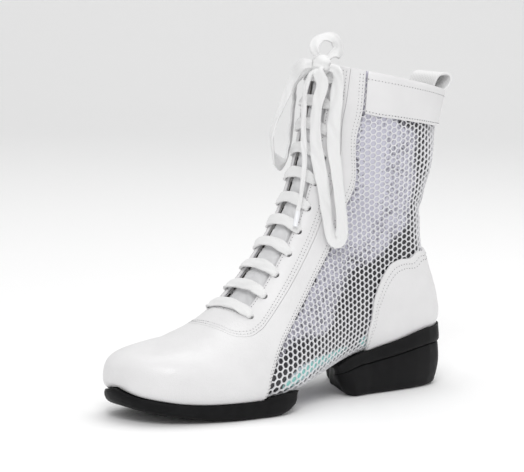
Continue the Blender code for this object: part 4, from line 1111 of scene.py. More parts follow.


# Painted shade and dark reflection on the film under the net, and a painted glint where the share is below
# zero: a line of (station, turn), half width in metres and share
Shade = namedtuple("Shade", "name line width share")
SHADES = [Shade(*row) for row in [
    ("over_the_counter", [(13.9, .30), (13.5, 1.3), (12.3, 1.98), (11.4, 2.21), (9.9, 2.25),
                             (9.1, 2.19), (8.5, 2.05), (8.0, 1.80)], .0066, 1.0),
    ("above_the_heel", [(8.6, 2.22), (8.0, 2.06), (7.5, 1.92), (7.2, 1.65), (7.6, 1.35)], .0094, 1.0),
    ("along_the_arch", [(7.4, 1.62), (6.8, 1.62), (6.2, 1.72), (5.6, 1.92), (5.1, 2.02), (4.7, 1.85),
                           (4.35, 1.5), (4.15, 1.0)], .0070, 1.0),
    ("under_the_arch", [(7.6, .95), (6.6, .95), (5.6, 1.0), (4.7, .95)], .0060, .55),
    ("behind_the_ankle", [(15.9, 1.60), (15.3, 1.45), (14.6, 1.30), (14.0, 1.40), (13.4, 1.60),
                             (12.4, 2.05), (11.6, 2.25)], .0074, .55),
    ("round_the_tendon", [(16.0, .80), (15.2, .65), (14.4, .50), (13.9, .30)], .0090, .50),
    ("shaded_middle", [(14.7, 2.30), (13.5, 2.45), (12.1, 2.60), (10.6, 2.65), (9.1, 2.57), (8.46, 2.50),
                         (7.8, 2.38), (7.2, 2.40), (6.4, 2.40), (5.6, 2.35)], .0110, .12),
    ("under_the_collar", [(15.75, 2.30), (16.0, 1.75), (16.2, 1.2), (16.3, .3)], .0020, .55),
    ("back_line", [(15.8, .15), (15.0, .10), (14.2, .05)], .0080, .50),
    ("along_the_vamp", [(4.0, 1.0), (4.12, 1.62), (4.43, 2.21), (4.77, 2.46), (5.21, 2.61), (6.34, 2.79),
                           (7.73, 2.89), (9.23, 3.00)], .0011, .75),
    ("along_the_wing", [(15.4, 3.07), (14.0, 3.06), (12.0, 3.04), (10.2, 3.02)], .0009, .55),
    ("ankle_glint", [(14.6, 2.75), (13.4, 2.60), (11.2, 2.75), (9.4, 2.70)], .0080, -.16)]]
# A painted teal sheen on the film near the arch: its line, half width, and how far it lightens the painted
# shade
TEAL = [(8.03, 1.10), (7.2, 1.28), (6.6, 1.32), (6.0, 1.46), (5.3, 1.42), (4.7, 1.22)]
TEAL_WIDTH = 0.0042
TEAL_LIGHTENS = 0.75
FOREFOOT_OPENING = (.60, 4.70)     # stations of the openings in the wall above the soles
HEEL_OPENING = (8.4, 10.6)
OPENING_TURN = .5                  # the openings reach up to this turn


def line_pull(points, side, line, width):
    """1 on a line of places and fading to 0 a few widths away from it."""
    spots = trace(line, 40)
    spots = skin(side, spots[:, 0], spots[:, 1])
    flat = points.reshape(-1, 3)
    gaps = np.linalg.norm(flat[:, None] - spots[None], axis=2).min(1)
    return np.exp(-(gaps / width) ** 2).reshape(points.shape[:-1])


def wall_grid():
    """Places of the wall, with the throat left open and the opening above each sole."""
    toe, ball = FOREFOOT_OPENING
    breast, heel = HEEL_OPENING
    stations = np.concatenate([np.linspace(0, toe, 9), np.linspace(toe, THROAT_END, 34)[1:],
                               np.linspace(THROAT_END, ball, 5)[1:], np.linspace(ball, breast, 30)[1:],
                               np.linspace(breast, heel, 20)[1:], np.linspace(heel, RIM, 46)[1:]])
    throat = np.array(THROAT_LINE)
    edge = np.interp(stations, throat[2:, 0], throat[2:, 1])
    low = np.linspace(0, OPENING_TURN, 5)
    fine = np.linspace(0, 1, 61)[1:]
    top = np.linspace(0, 1, 4)[1:]
    turns = np.array([np.concatenate([low, OPENING_TURN + (e - OPENING_TURN) * fine,
                                      e + (FRONT - e) * top]) for e in edge])
    edge_column = len(low) + len(fine) - 1
    start = stations[:-1, None]
    column = np.arange(turns.shape[1] - 1)[None]
    under = ((start >= toe) & (start < ball)) | ((start >= breast) & (start < heel))
    keep = ~((column >= edge_column) & (start >= THROAT_END)) & ~((column < len(low) - 1) & under)
    return np.repeat(stations[:, None], turns.shape[1], 1), turns, keep


FILM_HEIGHT = -0.00110     # outside of the film under the net
BACKING = -0.00010         # outside of the wall under the leather
LACE_HOLE_EASE = 0.0002    # the wall's lace holes are this much wider in radius than the eyestay's


def face_outwards(bm):
    """Turn the faces of an open or closed surface away from its middle."""
    bmesh.ops.recalc_face_normals(bm, faces=bm.faces)
    middle = sum((v.co for v in bm.verts), Vector()) / len(bm.verts)
    if sum(f.normal.dot(f.calc_center_median() - middle) * f.calc_area() for f in bm.faces) < 0:
        bmesh.ops.reverse_faces(bm, faces=bm.faces)


class BOOT_OT_film(bpy.types.Operator):
    """Make the upper's wall: grey lining inside and glossy film outside"""
    bl_idname = "boot.film"
    bl_label = "Wall with film"

    def execute(self, context):
        stations, turns, keep = wall_grid()
        bm = bmesh.new()
        shade_layer = bm.verts.layers.float.new("shade")
        hue_layer = bm.verts.layers.float.new("hue")
        for side in (-1, 1):
            base = skin(side, stations, turns)
            line = np.array(MESH_LINE)
            bare = 1 - ease(.02, .14, turns - np.interp(stations, line[:, 0], line[:, 1], left=0))
            outer = draped(side, stations, turns, BACKING + (FILM_HEIGHT - BACKING) * bare)
            # Each point's shade sums the painted shade, dark reflection and glint of the table, less where
            # the teal sheen is painted; its hue paints that sheen
            dark = np.zeros(stations.shape)
            for row in SHADES:
                dark += row.share * line_pull(base, side, row.line, row.width)
            hue = line_pull(base, side, TEAL, TEAL_WIDTH)
            dark -= TEAL_LIGHTENS * hue
            for i, row in enumerate(add_grid(bm, outer, side > 0, keep)):
                for j, vertex in enumerate(row):
                    vertex[shade_layer] = float(dark[i, j])
                    vertex[hue_layer] = float(hue[i, j])
        weld(bm, 5e-5)
        face_outwards(bm)
        wall = add_piece("wall", bm, [finish("film"), finish("lining")], ["upper"], 60)
        depth = wall.modifiers.new("Wall", "SOLIDIFY")
        depth.thickness = WALL + FILM_HEIGHT
        depth.offset = -1
        depth.material_offset = 1
        depth.material_offset_rim = 1
        settle(wall)
        cut_lace_holes(wall, EYELET_DIAMETER / 2 + LACE_HOLE_EASE)
        return {"FINISHED"}


def cut_lace_holes(piece, radius):
    """Punch a round hole through a piece at each eyelet."""
    bm = bmesh.new()
    for side in (-1, 1):
        for station, turn in eyelets():
            axis = Vector(normal(side, station, turn))
            place = axis.to_track_quat("Z", "Y").to_matrix().to_4x4()
            place.translation = Vector(skin(side, station, turn))
            bmesh.ops.create_cone(bm, cap_ends=True, segments=28, radius1=radius, radius2=radius,
                                  depth=0.010, matrix=place)
    mesh = mesh_from(bm, "lace_hole_cutter")
    cutter = new_object("lace_hole_cutter", mesh)
    cut = piece.modifiers.new("Lace holes", "BOOLEAN")
    cut.operation = "DIFFERENCE"
    cut.object = cutter
    settle(piece)
    bpy.data.objects.remove(cutter)
    bpy.data.meshes.remove(mesh)


NET_FIRST, NET_LAST = 3.90, 16.75
NET_TUCK = .10             # turns that the net runs on under the leather
NET_CORNER = (4.2, 2.1)    # in front of this station the net stays below this turn
# Rings of one mesh of the net: share of the way from its inner to its outer outline, height above the skin
NET_RINGS = ((1.0, -.00005), (.45, .0), (.0, -.00025))
NET_FOOT = (1.01, -.00108)     # scale of the inner outline for the last ring, and its height


def net_patch(side, rows=150, columns=110):
    """Places and flat pattern of one quarter: a grid of (station, turn) and of (u, v) in metres."""
    line = np.array(MESH_LINE)
    stations = np.linspace(NET_FIRST, NET_LAST, rows)
    upper = np.interp(stations, np.maximum.accumulate(line[:, 0]), line[:, 1]) + NET_TUCK
    upper = np.where(stations < NET_CORNER[0], np.minimum(upper, NET_CORNER[1]), upper)
    turns = upper[:, None] * np.linspace(0, 1, columns)
    stations = np.repeat(stations[:, None], columns, 1)
    points = skin(side, stations, turns)
    bm = bmesh.new()
    add_grid(bm, points)
    mesh = mesh_from(bm, "quarter")
    sheet = new_object("quarter", mesh)
    mesh.uv_layers.new(name="flat")
    bpy.context.view_layer.objects.active = sheet
    sheet.select_set(True)
    bpy.ops.object.mode_set(mode="EDIT")
    bpy.ops.mesh.select_all(action="SELECT")
    bpy.ops.uv.unwrap(method="ANGLE_BASED", margin=0.0)
    bpy.ops.object.mode_set(mode="OBJECT")
    flat = np.zeros((len(mesh.vertices), 2))
    corner = np.zeros(len(mesh.loops) * 2)
    mesh.uv_layers["flat"].data.foreach_get("uv", corner)
    spots = np.zeros(len(mesh.loops), int)
    mesh.loops.foreach_get("vertex_index", spots)
    flat[spots] = corner.reshape(-1, 2)
    bpy.data.objects.remove(sheet)
    bpy.data.meshes.remove(mesh)
    flat = flat.reshape(rows, columns, 2)
    upright = points[..., [0, 2]].reshape(-1, 2)
    upright = upright - upright.mean(0)
    loose = flat.reshape(-1, 2) - flat.reshape(-1, 2).mean(0)
    real = np.linalg.norm(np.diff(points, axis=1), axis=2).sum()
    drawn = np.linalg.norm(np.diff(flat, axis=1), axis=2).sum()
    loose *= real / drawn
    if np.linalg.det(loose.T @ upright) < 0:
        loose[:, 0] *= -1
    u, _, w = np.linalg.svd(loose.T @ upright)
    loose = loose @ (u @ w)
    return stations, turns, loose.reshape(rows, columns, 2)


def lattice_places(spots, patch):
    """(station, turn) of flat spots, and whether each one lies inside the quarter."""
    stations, turns, flat = patch
    tree = kdtree.KDTree(flat.shape[0] * flat.shape[1])
    for i, spot in enumerate(flat.reshape(-1, 2)):
        tree.insert((spot[0], spot[1], 0), i)
    tree.balance()
    columns = flat.shape[1]
    nearest = np.array([tree.find((u, v, 0))[1] for u, v in spots])
    row, column = nearest // columns, nearest % columns
    by_row = np.gradient(flat, axis=0)
    by_column = np.gradient(flat, axis=1)
    jacobian = np.stack([by_row[row, column], by_column[row, column]], -1)
    gap = spots - flat[row, column]
    steps = np.linalg.solve(jacobian, gap[..., None])[..., 0]
    at_row, at_column = row + steps[:, 0], column + steps[:, 1]
    inside = ((at_row > 0) & (at_row < flat.shape[0] - 1) & (at_column > 0) & (at_column < columns - 1))
    at_row = np.clip(at_row, 0, flat.shape[0] - 1.001)
    at_column = np.clip(at_column, 0, columns - 1.001)
    i, j = at_row.astype(int), at_column.astype(int)
    a, b = at_row - i, at_column - j
    found = []
    for table in (stations, turns):
        found.append(table[i, j] * (1 - a) * (1 - b) + table[i + 1, j] * a * (1 - b)
                     + table[i, j + 1] * (1 - a) * b + table[i + 1, j + 1] * a * b)
    return np.stack(found, -1), inside


class BOOT_OT_net(bpy.types.Operator):
    """Lay the open net of six-sided meshes over both quarters"""
    bl_idname = "boot.net"
    bl_label = "Net"

    def execute(self, context):
        sizes = settings()
        pitch, spacing, strand = sizes.net_pitch, sizes.net_column, sizes.strand
        corners = np.array([(2 / 3 * spacing, 0), (spacing / 3, pitch / 2), (-spacing / 3, pitch / 2),
                            (-2 / 3 * spacing, 0), (-spacing / 3, -pitch / 2), (spacing / 3, -pitch / 2)])
        middles = (corners + np.roll(corners, -1, 0)) / 2
        outer = np.stack([corners, middles], 1).reshape(-1, 2)
        size = len(outer)
        far = np.linalg.norm(outer, axis=1)
        share = np.where(np.arange(size) % 2, 1 - strand / 2 / far, (1 - strand / 2 / (far * .866)) * .95)
        inner = outer * share[:, None]
        rings = [(outer, NET_RINGS[0][1])]
        rings += [(inner + (outer - inner) * way, height) for way, height in NET_RINGS[1:]]
        rings += [(inner * NET_FOOT[0], NET_FOOT[1])]
        verts, faces, total = [], [], 0
        for side in (-1, 1):
            patch = net_patch(side)
            flat = patch[2].reshape(-1, 2)
            low, high = flat.min(0), flat.max(0)
            cells = [(low[0] + c * spacing, low[1] + (r + (c % 2) / 2) * pitch)
                     for c in range(int((high[0] - low[0]) / spacing) + 2)
                     for r in range(int((high[1] - low[1]) / pitch) + 2)]
            cells = np.array(cells)
            _, inside = lattice_places(cells, patch)
            cells = cells[inside]
            levels = []
            for shape, height in rings:
                spots = (cells[:, None] + shape[None]).reshape(-1, 2)
                places, _ = lattice_places(spots, patch)
                levels.append(draped(side, places[:, 0], places[:, 1], np.full(len(places), height)))
            levels = np.array(levels).reshape(len(rings), len(cells), size, 3)
            verts.append(levels.transpose(1, 0, 2, 3).reshape(-1, 3))
            quads = ring_quads(total, len(cells), len(rings), size)
            faces.append(quads[:, ::-1] if side > 0 else quads)
            total += len(cells) * size * len(rings)
        bm = bmesh_of(np.concatenate(verts).tolist(), np.concatenate(faces).tolist())
        bmesh.ops.remove_doubles(bm, verts=bm.verts, dist=5e-5)
        add_piece("net", bm, [finish("net")], [], 60)
        return {"FINISHED"}


def both_halves(first, second, count, first_gap, second_gap):
    """Places between two edges on each half of the boot."""
    return {side: between(side, first, second, count, first_gap, second_gap) for side in (-1, 1)}


def panel_places():
    """Places of each leather panel on both halves, with the rims that are cut edges."""
    vamp_upper, vamp_lower = vamp_lines()
    stay_outer, stay_inner = eyestay_lines()
    counter_lower, counter_upper = counter_lines()
    band_lower, band_rim = band_lines()
    vamp = both_halves(vamp_lower, vamp_upper, 41, SEAM_GAP, SEAM_GAP * .12)
    for grid in vamp.values():
        grid[:TOE_COUNT, -1] = vamp_upper[:TOE_COUNT]
    return {
        "vamp": (vamp, [("lower", 0), ("upper", TOE_COUNT - 1), ("last", 0)]),
        "eyestay": (both_halves(stay_outer, stay_inner, 19, SEAM_GAP * .1, 0),
                    [("lower", 0), ("upper", 0), ("last", 0)]),
        "heel_counter": (both_halves(counter_lower, counter_upper, 41, SEAM_GAP, 0),
                         [("lower", 0), ("upper", 0), ("first", 0)]),
        "collar_band": (both_halves(band_lower, band_rim, 21, 0, 0),
                        [("lower", 0), ("upper", 0), ("first", 0)])}


# Rims that lie flush against the next panel and aren't skived
SEWN_UNDER = {"vamp": [("upper", TOE_COUNT - 1), ("last", 0)], "eyestay": [("lower", 0), ("last", 0)],
              "heel_counter": [("lower", 0)], "collar_band": []}


class BOOT_OT_leather(bpy.types.Operator):
    """Cut and lay the leather panels: vamp, eyestay, heel counter and collar band"""
    bl_idname = "boot.leather"
    bl_label = "Leather panels"

    def execute(self, context):
        for name, (places, rims) in panel_places().items():
            skived = [row for row in rims if row not in SEWN_UNDER[name]]
            piece = leather_panel(name + "_leather", places, rims, skived, finish("white_leather"), name)
            if name == "eyestay":
                cut_lace_holes(piece, EYELET_DIAMETER / 2)
        return {"FINISHED"}


VAMP_UNSEWN = 6            # places of the vamp's lower edge behind the toe that have no stitches


def stitch_rows():
    """Lines of stitches: side, places of an edge and of the edge opposite, and distance in from the first."""
    vamp_upper, vamp_lower = vamp_lines()
    stay_outer, stay_inner = eyestay_lines()
    counter_lower, counter_upper = counter_lines()
    band_lower, band_rim = band_lines()
    sewn = TOE_COUNT - 1 + VAMP_UNSEWN
    seams = [(stay_outer, stay_inner, (.0022, .0044)), (stay_inner, stay_outer, (.0018,)),
             (vamp_lower[sewn:], vamp_upper[sewn:], (.0022, .0042)),
             (counter_upper, counter_lower, (.0022, .0042)),
             (band_lower, band_rim, (.0020,)), (band_rim, band_lower, (.0042,))]
    return [(side, edge, opposite, distance) for side in (-1, 1) for edge, opposite, distances in seams
            for distance in distances]


# Dark discs of painted shade in the needle holes
HOLE_RADIUS, HOLE_SIDES = 0.00032, 8
STITCH_SIDES = 6
STITCH_ARCH = (-.00022, .00002, .00010, .00002, -.00022)     # height over the leather from end to end
STITCH_TAPER = (.55, 1, 1, 1, .55)


class BOOT_OT_stitches(bpy.types.Operator):
    """Sew the rows of stitches along the panels"""
    bl_idname = "boot.stitches"
    bl_label = "Stitches"

    def execute(self, context):
        sizes = settings()
        sides, rings = STITCH_SIDES, len(STITCH_ARCH)
        verts, faces, holes, total = [], [], [], 0
        for side, first, second, distance in stitch_rows():
            line = inset(side, first, second, distance)
            points = skin(side, line[:, 0], line[:, 1])
            reach = travelled(points)
            starts = np.arange(.0008, reach[-1] - sizes.stitch_length - .0006, sizes.stitch_pitch)
            share = np.linspace(0, 1, rings)
            at = starts[:, None] + share[None] * sizes.stitch_length
            station = np.interp(at, reach, line[:, 0])
            turn = np.interp(at, reach, line[:, 1])
            arch = np.array(STITCH_ARCH) + LEATHER
            centre = draped(side, station, turn, np.repeat(arch[None], len(starts), 0))
            out = normal(side, station, turn)
            run = unit(np.gradient(centre, axis=1))
            wide = unit(np.cross(run, out))
            radius = sizes.thread / 2 * np.array(STITCH_TAPER)
            angle = np.linspace(0, 2 * math.pi, sides, endpoint=False)
            ring = (wide[:, :, None] * np.cos(angle)[None, None, :, None]
                    + out[:, :, None] * np.sin(angle)[None, None, :, None])
            spots = centre[:, :, None] + ring * radius[None, :, None, None]
            verts.append(spots.reshape(-1, 3))
            # A dark disc of painted shade at each needle hole, between two stitches
            at_hole = starts - (sizes.stitch_pitch - sizes.stitch_length) / 2
            station, turn = np.interp(at_hole, reach, line[:, 0]), np.interp(at_hole, reach, line[:, 1])
            middle = draped(side, station, turn, np.full(len(starts), LEATHER + .00004))
            spin = np.linspace(0, 2 * math.pi, HOLE_SIDES, endpoint=False)
            along, aside = run[:, 0], wide[:, 0]
            disc = (along[:, None] * np.cos(spin)[None, :, None]
                    - aside[:, None] * np.sin(spin)[None, :, None] * side)
            holes.append(middle[:, None] + HOLE_RADIUS * disc)
            faces += ring_quads(total, len(starts), rings, sides).tolist()
            for end in (0, (rings - 1) * sides):
                caps = (total + end + np.arange(len(starts))[:, None] * rings * sides
                        + np.arange(sides)[None, :])
                faces += (caps[:, ::-1] if end == 0 else caps).tolist()
            total += len(starts) * rings * sides
        bm = bmesh_of(np.concatenate(verts).tolist(), faces)
        bmesh.ops.recalc_face_normals(bm, faces=bm.faces)
        add_piece("stitches", bm, [finish("thread")], [], 60)
        mesh = bpy.data.meshes.new("needle_holes")
        discs = np.concatenate(holes)
        rows = np.arange(len(discs) * HOLE_SIDES).reshape(-1, HOLE_SIDES)
        mesh.from_pydata(discs.reshape(-1, 3).tolist(), [], rows.tolist())
        add_piece("needle_holes", mesh, [finish("needle_hole_shade")], [])
        return {"FINISHED"}


TONGUE_FILL = 0.0017       # the padding stands this much higher than the plain strip
TONGUE_TUCK = 0.42         # turns that the strip runs on under the eyestay


class BOOT_OT_tongue(bpy.types.Operator):
    """Shape the padded tongue, swollen between the bars of lace and creased under them"""
    bl_idname = "boot.tongue"
    bl_label = "Tongue"

    def execute(self, context):
        sizes = settings()
        stations = np.concatenate([np.linspace(3.70, 8.0, 70), np.linspace(8.0, RIM, 110)[1:]])
        shares = np.linspace(0, 1, 36)
        throat = np.array(THROAT_LINE)[3:]
        edge = np.interp(stations, throat[:, 0], throat[:, 1])
        outer = edge - TONGUE_TUCK
        buried = -(WALL + CLEARANCE)
        bars = eyelets()[:, 0]
        phase = np.interp(stations, bars, np.arange(len(bars)), left=-.5, right=len(bars) - .6)
        swell = sizes.tongue_swell * (.5 - .5 * np.cos(2 * math.pi * phase)) ** .8
        grids, thin = [], []
        for side in (-1, 1):
            turns = outer[:, None] + (FRONT - outer[:, None]) * shares
            crown = np.clip((turns - edge[:, None]) / (FRONT - edge[:, None]), 0, 1)
            opened = np.clip((stations - THROAT_END - .1) / .8, 0, 1)[:, None]
            rise = ease(0, .30, crown) * opened
            height = buried + (-TONGUE_DEPTH + TONGUE_FILL - buried) * rise
            wave = .35 * np.sin(9 * turns + 5 * side * stations[:, None] ** .5)
            crease = swell[:, None] * (1 + wave) * ease(0, .5, crown) * opened
            pucker = .00022 * np.sin(23 * turns + 11 * np.sin(stations[:, None] * 3.1)) * ease(0, .4, crown)
            along = np.repeat(stations[:, None], len(shares), 1)
            base = skin(side, along, turns)
            away = np.concatenate([np.zeros((len(stations), 1)),
                                   np.cumsum(np.linalg.norm(np.diff(base, axis=1), axis=2), axis=1)], 1)
            top = np.linalg.norm(base[-1:] - base, axis=2)
            round_off = .0014 * (1 - ease(0, .0022, np.minimum(away, top)))
            face = height + crease + pucker - round_off
            grids.append(lifted(side, along, turns, face))
            back = np.minimum(height, -TONGUE_DEPTH) - TONGUE_THICKNESS + .0010 + round_off
            thin.append(lifted(side, along, turns, back))
        bm = shell(grids, thin, [("lower", 0), ("first", 0), ("last", 0)])
        piece = add_piece("padded_tongue", bm, [finish("tongue")], ["tongue"], 75)
        return {"FINISHED"}


# Half width of the insole: rows of (station, turn)
INSOLE_LINE = [(0.75, .30), (1.1, .42), (1.7, .50), (2.7, .56), (3.7, .58), (4.8, .58), (5.9, .52),
               (7.0, .48), (8.1, .50), (9.2, .50), (10.1, .40), (10.6, .24)]


class BOOT_OT_insole(bpy.types.Operator):
    """Lay the insole on the floor of the boot"""
    bl_idname = "boot.insole"
    bl_label = "Insole"

    def execute(self, context):
        stations = np.linspace(INSOLE_LINE[0][0], INSOLE_LINE[-1][0], 60)
        reach = np.interp(stations, *np.array(INSOLE_LINE).T)
        turns = reach[:, None] * np.linspace(0, 1, 12)
        along = np.repeat(stations[:, None], turns.shape[1], 1)
        low = np.full(turns.shape, -(WALL + CLEARANCE))
        grids = [lifted(side, along, turns, low - INSOLE_THICKNESS) for side in (-1, 1)]
        thin = [lifted(side, along, turns, low) for side in (-1, 1)]
        bm = shell(grids, thin, [("upper", 0), ("first", 0), ("last", 0)])
        piece = add_piece("footbed", bm, [finish("footbed")], ["insole"], 60)
        round_edges(piece, 0.0008, 60, 3)
        return {"FINISHED"}


BREAST_RISE, BREAST_REACH = 0.0090, 0.0100     # rounding under the front of the heel
TREAD_ROUND = 0.0012
LEDGE_OVER_LEATHER, LEDGE_OVER_NET = 0.0024, 0.0009
RIM_LIFT = 0.0008
TREAD_LIFT = 0.0002       # keeps the tread clear of the floor
FOREFOOT_CORNER, HEEL_CORNER = 0.0060, 0.0095     # rounding of the open ends, seen from above


def spring_height(x):
    """Height of the forefoot sole's underside at x."""
    rows = np.array(SPRING)
    return np.interp((HEEL_TO_ORIGIN - x) / LENGTH, rows[:, 0], rows[:, 1]) * BALL_HEIGHT + TREAD_LIFT


def breast_skew(station):
    """How many stations further back the inner side of the heel unit lies than its outer side."""
    first, last = HEEL_EDGE[0].station, HEEL_EDGE[-1].station
    return BREAST_SKEW * (last - station) / (last - first)


def breast_slant(ring):
    """Draw the front of the heel back, the more so the nearer a point is to the floor."""
    breast, fade, lean, inner_lean = x_at(.43), 0.15 * LENGTH, 0.066 * LENGTH, 0.046 * LENGTH
    near = np.clip(1 - (ring[:, 0] - breast) / fade, 0, 1)
    low = np.clip(1 - ring[:, 2] / (0.85 * HEEL_HEIGHT), 0, 1)
    inner = np.clip(0.5 + ring[:, 1] / HEEL_WIDTH * 1.4, 0, 1)
    under = np.clip(1 - ring[:, 2] / BREAST_RISE, 0, 1)
    curl = BREAST_REACH * (1 - np.sqrt(1 - under ** 2 * .98))
    ring[:, 0] += near * (lean * low + inner_lean * inner * np.sqrt(low)) + near ** 3 * curl
    return ring


def round_layers(layers, steps=4):
    """More layers between the named ones, with the last stretch turned under in a quarter round."""
    rows = np.array([layer[1:] for layer in layers])
    last = len(rows) - 2
    upper = smooth_at(rows, np.arange(len(rows)), np.linspace(0, last, last * steps + 1))
    turned = np.linspace(0, math.pi / 2, 7)[1:]
    depth = rows[last, 0] + (1 - rows[last, 0]) * np.sin(turned)
    spread = rows[last, 1:] + (rows[-1, 1:] - rows[last, 1:] - TREAD_ROUND) * (1 - np.cos(turned))[:, None]
    lower = np.column_stack([depth, spread])
    return [Layer("between", *row) for row in np.concatenate([upper, lower])]


def rim_ledge(station):
    """Inner face of a sole's rim above the skin: clear of the leather and nearer where the net is bare."""
    bare = ease(3.95, 4.15, station) * (1 - ease(7.75, 8.05, station))
    return LEDGE_OVER_LEATHER + (LEDGE_OVER_NET - LEDGE_OVER_LEATHER) * bare


def sole_ring(edge_rows, layers, station, under, skew, open_end, corner, columns=12):
    """One closed ring round a sole: over its top, down the inner side, back under it and up."""
    halves = {}
    for side in (-1, 1):
        at_edge = station + skew(station) * (1 + side) / 2
        foot = float(edge_turn(edge_rows, at_edge, 0))
        rim = float(edge_turn(edge_rows, at_edge, 1))
        share = np.concatenate([np.linspace(0, 1, columns), [1, 1]])
        turns = np.concatenate([foot * share[:-1], [rim]])
        places = station + skew(station) * (1 + side * share) / 2
        ledge = float(rim_ledge(at_edge))
        top = lifted(side, places, turns, np.concatenate([np.full(columns, SEAT_CLEARANCE), [ledge] * 2]))
        top[-1][2] += RIM_LIFT
        ends = np.clip([at_edge - .02, at_edge + .02], edge_rows[0].station, edge_rows[-1].station)
        rims = skin(side, ends, edge_turn(edge_rows, ends, 1))
        run = (rims[1] - rims[0])[:2]
        out = unit(np.array([run[1], -run[0]]) * -side)
        if rim == 0:
            out = np.array([-1.0 if station < 5 else 1.0, 0])
        last = open_end + skew(open_end) * (1 + side) / 2
        gap = max(corner - abs(top[-1][0] - skin(side, last, edge_turn(edge_rows, last, 1))[0]), 0)
        turned_in = corner - math.sqrt(corner ** 2 - min(gap, corner) ** 2)
        ahead, behind = max(-out[0], 0) ** 2, max(out[0], 0) ** 2
        chain = []
        for layer in layers:
            spread = layer.side * (1 - ahead - behind) + layer.front * ahead + layer.back * behind
            spread += LEDGE - ledge - turned_in * float(ease(-.08, .45, layer.depth))
            x, y = top[-1][:2] + out * spread
            chain.append((x, y, top[-1][2] * (1 - layer.depth) + under(x) * layer.depth))
        halves[side] = (list(top), chain)
    lateral, medial = halves[-1], halves[1]
    first, last = np.array(lateral[1][-1]), np.array(medial[1][-1])
    over = lateral[0][::-1] + medial[0][1:]
    floor = [last + (first - last) * share for share in np.linspace(0, 1, len(over))[1:-1]]
    floor = [(x, y, under(x)) for x, y, _ in floor]
    return np.array(over + medial[1] + floor + lateral[1][::-1]), len(over)


def end_wall(ring, across, layers):
    """Grid of points over the open end of a sole, from its top to its tread."""
    over = ring[:across]
    share = np.linspace(0, 1, across)[:, None]
    arch = over - (over[0] + (over[-1] - over[0]) * share)
    rows = [over]
    for k, layer in enumerate(layers, start=1):
        start, end = ring[-k], ring[across + k - 1]
        rows.append(start + (end - start) * share + arch * (1 - layer.depth))
    rows[-1] = np.concatenate([[ring[-len(layers)]], ring[across + len(layers):-len(layers)][::-1],
                               [ring[across + len(layers) - 1]]])
    return np.array(rows)


def sole_body(name, edge_rows, layers, stations, under, slant, skew, node, corner):
    """Loft rings from one end of a sole to the other, close its open end and round its edges."""
    bm = bmesh.new()
    layers = round_layers(layers)
    open_end = stations[-1] if edge_rows[0].rim == 0 else stations[0]
    plain = [sole_ring(edge_rows, layers, s, under, skew, open_end, corner) for s in stations]
    rings = [[bm.verts.new(p) for p in slant(ring.copy())] for ring, _ in plain]
    add_rings(bm, rings)
    open_ring, across = plain[-1] if edge_rows[0].rim == 0 else plain[0]
    wall = end_wall(open_ring, across, layers)
    add_grid(bm, slant(wall.reshape(-1, 3).copy()).reshape(wall.shape))
    weld(bm, 5e-5)
    bmesh.ops.recalc_face_normals(bm, faces=bm.faces)
    piece = add_piece(name, bm, [finish("rubber")], [node], 42)
    round_edges(piece, 0.0004, 42, 2)
    return piece


def close_together(rows, count, open_end, reach):
    """count stations over the rows' range, with each row among them and more near the open end."""
    spread = np.linspace(rows[0], rows[-1], count)
    near = open_end + reach * (1 - np.cos(np.linspace(0, math.pi / 2, 9)))
    return np.unique(np.round(np.concatenate([spread, rows, near]), 4))


class BOOT_OT_soles(bpy.types.Operator):
    """Mould the forefoot sole and the heel with its notch and leaning breast"""
    bl_idname = "boot.soles"
    bl_label = "Soles"

    def execute(self, context):
        rows = [row.station for row in FOREFOOT_EDGE]
        sole_body("forefoot_rubber", FOREFOOT_EDGE, FOREFOOT_SIDE, close_together(rows, 46, rows[-1], -.4),
                  spring_height, lambda ring: ring, lambda station: 0.0, "forefoot_sole", FOREFOOT_CORNER)
        rows = [row.station for row in HEEL_EDGE]
        sole_body("heel_rubber", HEEL_EDGE, HEEL_SIDE, close_together(rows, 44, rows[0], .6),
                  lambda x: TREAD_LIFT, breast_slant, breast_skew, "heel_unit", HEEL_CORNER)
        return {"FINISHED"}


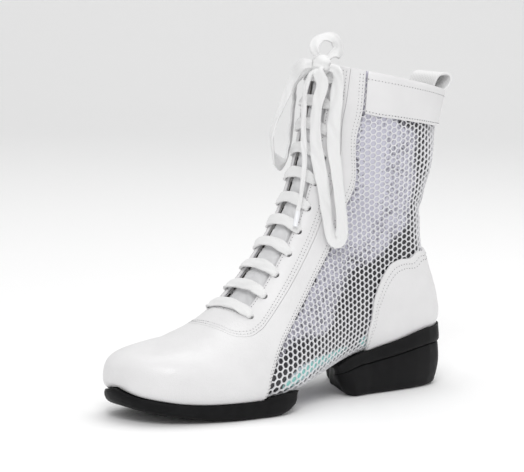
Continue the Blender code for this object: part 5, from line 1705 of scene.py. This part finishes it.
class BOOT_OT_pull_loop(bpy.types.Operator):
    """Fold the webbing loop over the back of the collar, its tails lying flat against it inside and out"""
    bl_idname = "boot.pull_loop"
    bl_label = "Pull loop"

    def execute(self, context):
        half = LOOP_THICKNESS / 2
        inner, outer = -(WALL + CLEARANCE + half), LEATHER + CLEARANCE + half
        pitch = np.linalg.norm(skin(1, RIM - .5, UNDER) - skin(1, RIM, UNDER)) / .5
        tail = LOOP_TAIL / pitch
        columns = 9
        widths = LOOP_WIDTH / 2 * np.linspace(0, 1, columns)
        round_rim = np.linspace(0, 1.5, 60)
        turns = np.interp(widths, skin(1, RIM, round_rim)[:, 1], round_rim)
        Row = namedtuple("Row", "out rise flat")
        arch = [Row(inner, .0, 0), Row(inner + .0003, .0048, .1), Row(inner + .0016, .0095, .5),
                Row(.0020, .0120, .9), Row(.0052, .0120, 1), Row(.0070, .0088, 1), Row(.0062, .0044, .7),
                Row(outer + .0008, .0004, .2)]
        bm = bmesh.new()
        uv = bm.loops.layers.uv.new("along")
        for side in (-1, 1):
            rim, out = skin(side, RIM, turns), normal(side, RIM, turns)
            up = unit(rim - skin(side, RIM - .4, turns))
            rows = [lifted(side, RIM - tail * (1 - k / 3), turns, np.full(columns, inner)) for k in range(3)]
            for row in arch:
                points = rim + out * row.out + up * row.rise
                level = points.copy()
                level[:, 0] = points[0, 0]
                level[:, 2] = points[0, 2]
                rows.append(points + (level - points) * row.flat)
            rows += [lifted(side, RIM - tail * k / 3, turns, np.full(columns, outer)) for k in (1, 2, 3)]
            rows = np.array(rows)
            reach = travelled(rows[:, 0])
            at = np.linspace(0, reach[-1], 70)
            fine = smooth_at(rows.reshape(len(rows), -1), reach, at).reshape(len(at), columns, 3)
            grid = add_grid(bm, fine, side > 0)
            spots = {v: (side * widths[j], at[i]) for i, r in enumerate(grid) for j, v in enumerate(r)}
            for face in {f for r in grid for v in r for f in v.link_faces}:
                for loop in face.loops:
                    loop[uv].uv = spots[loop.vert]
        weld(bm)
        bmesh.ops.recalc_face_normals(bm, faces=bm.faces)
        piece = add_piece("loop_webbing", bm, [finish("webbing"), finish("footbed")], ["pull_loop"],
                          60)
        depth = piece.modifiers.new("Thickness", "SOLIDIFY")
        depth.thickness = LOOP_THICKNESS
        depth.offset = 0.0
        settle(piece)
        round_edges(piece, 0.0004, 60, 2)
        return {"FINISHED"}


PIECES = (BOOT_OT_bow, BOOT_OT_laces, BOOT_OT_film, BOOT_OT_net, BOOT_OT_leather, BOOT_OT_stitches,
          BOOT_OT_tongue, BOOT_OT_insole, BOOT_OT_soles, BOOT_OT_pull_loop)


class BOOT_PT_sidebar(bpy.types.Panel):
    """Sizes, colours and pieces of the boot"""
    bl_label = "Dance boot"
    bl_idname = "BOOT_PT_sidebar"
    bl_space_type = "VIEW_3D"
    bl_region_type = "UI"
    bl_category = "Boot"

    def draw(self, context):
        layout = self.layout
        layout.operator(BOOT_OT_stage.bl_idname)
        for piece in PIECES:
            layout.operator(piece.bl_idname)
        for group, kind in ((context.scene.boot_sizes, BootSizes), (context.scene.boot_colours, BootColours)):
            column = layout.box().column()
            for name in kind.__annotations__:
                column.prop(group, name)


CLASSES = (BootSizes, BootColours, BOOT_OT_stage, *PIECES, BOOT_PT_sidebar)


def register():
    for kind in CLASSES:
        bpy.utils.register_class(kind)
    bpy.types.Scene.boot_sizes = PointerProperty(type=BootSizes)
    bpy.types.Scene.boot_colours = PointerProperty(type=BootColours)


def unregister():
    del bpy.types.Scene.boot_colours
    del bpy.types.Scene.boot_sizes
    for kind in reversed(CLASSES):
        bpy.utils.unregister_class(kind)


def main():
    """Make the stage and every piece in turn."""
    register()
    for step in (BOOT_OT_stage, *PIECES):
        group, name = step.bl_idname.split(".")
        getattr(getattr(bpy.ops, group), name)()


if __name__ == "__main__":
    main()
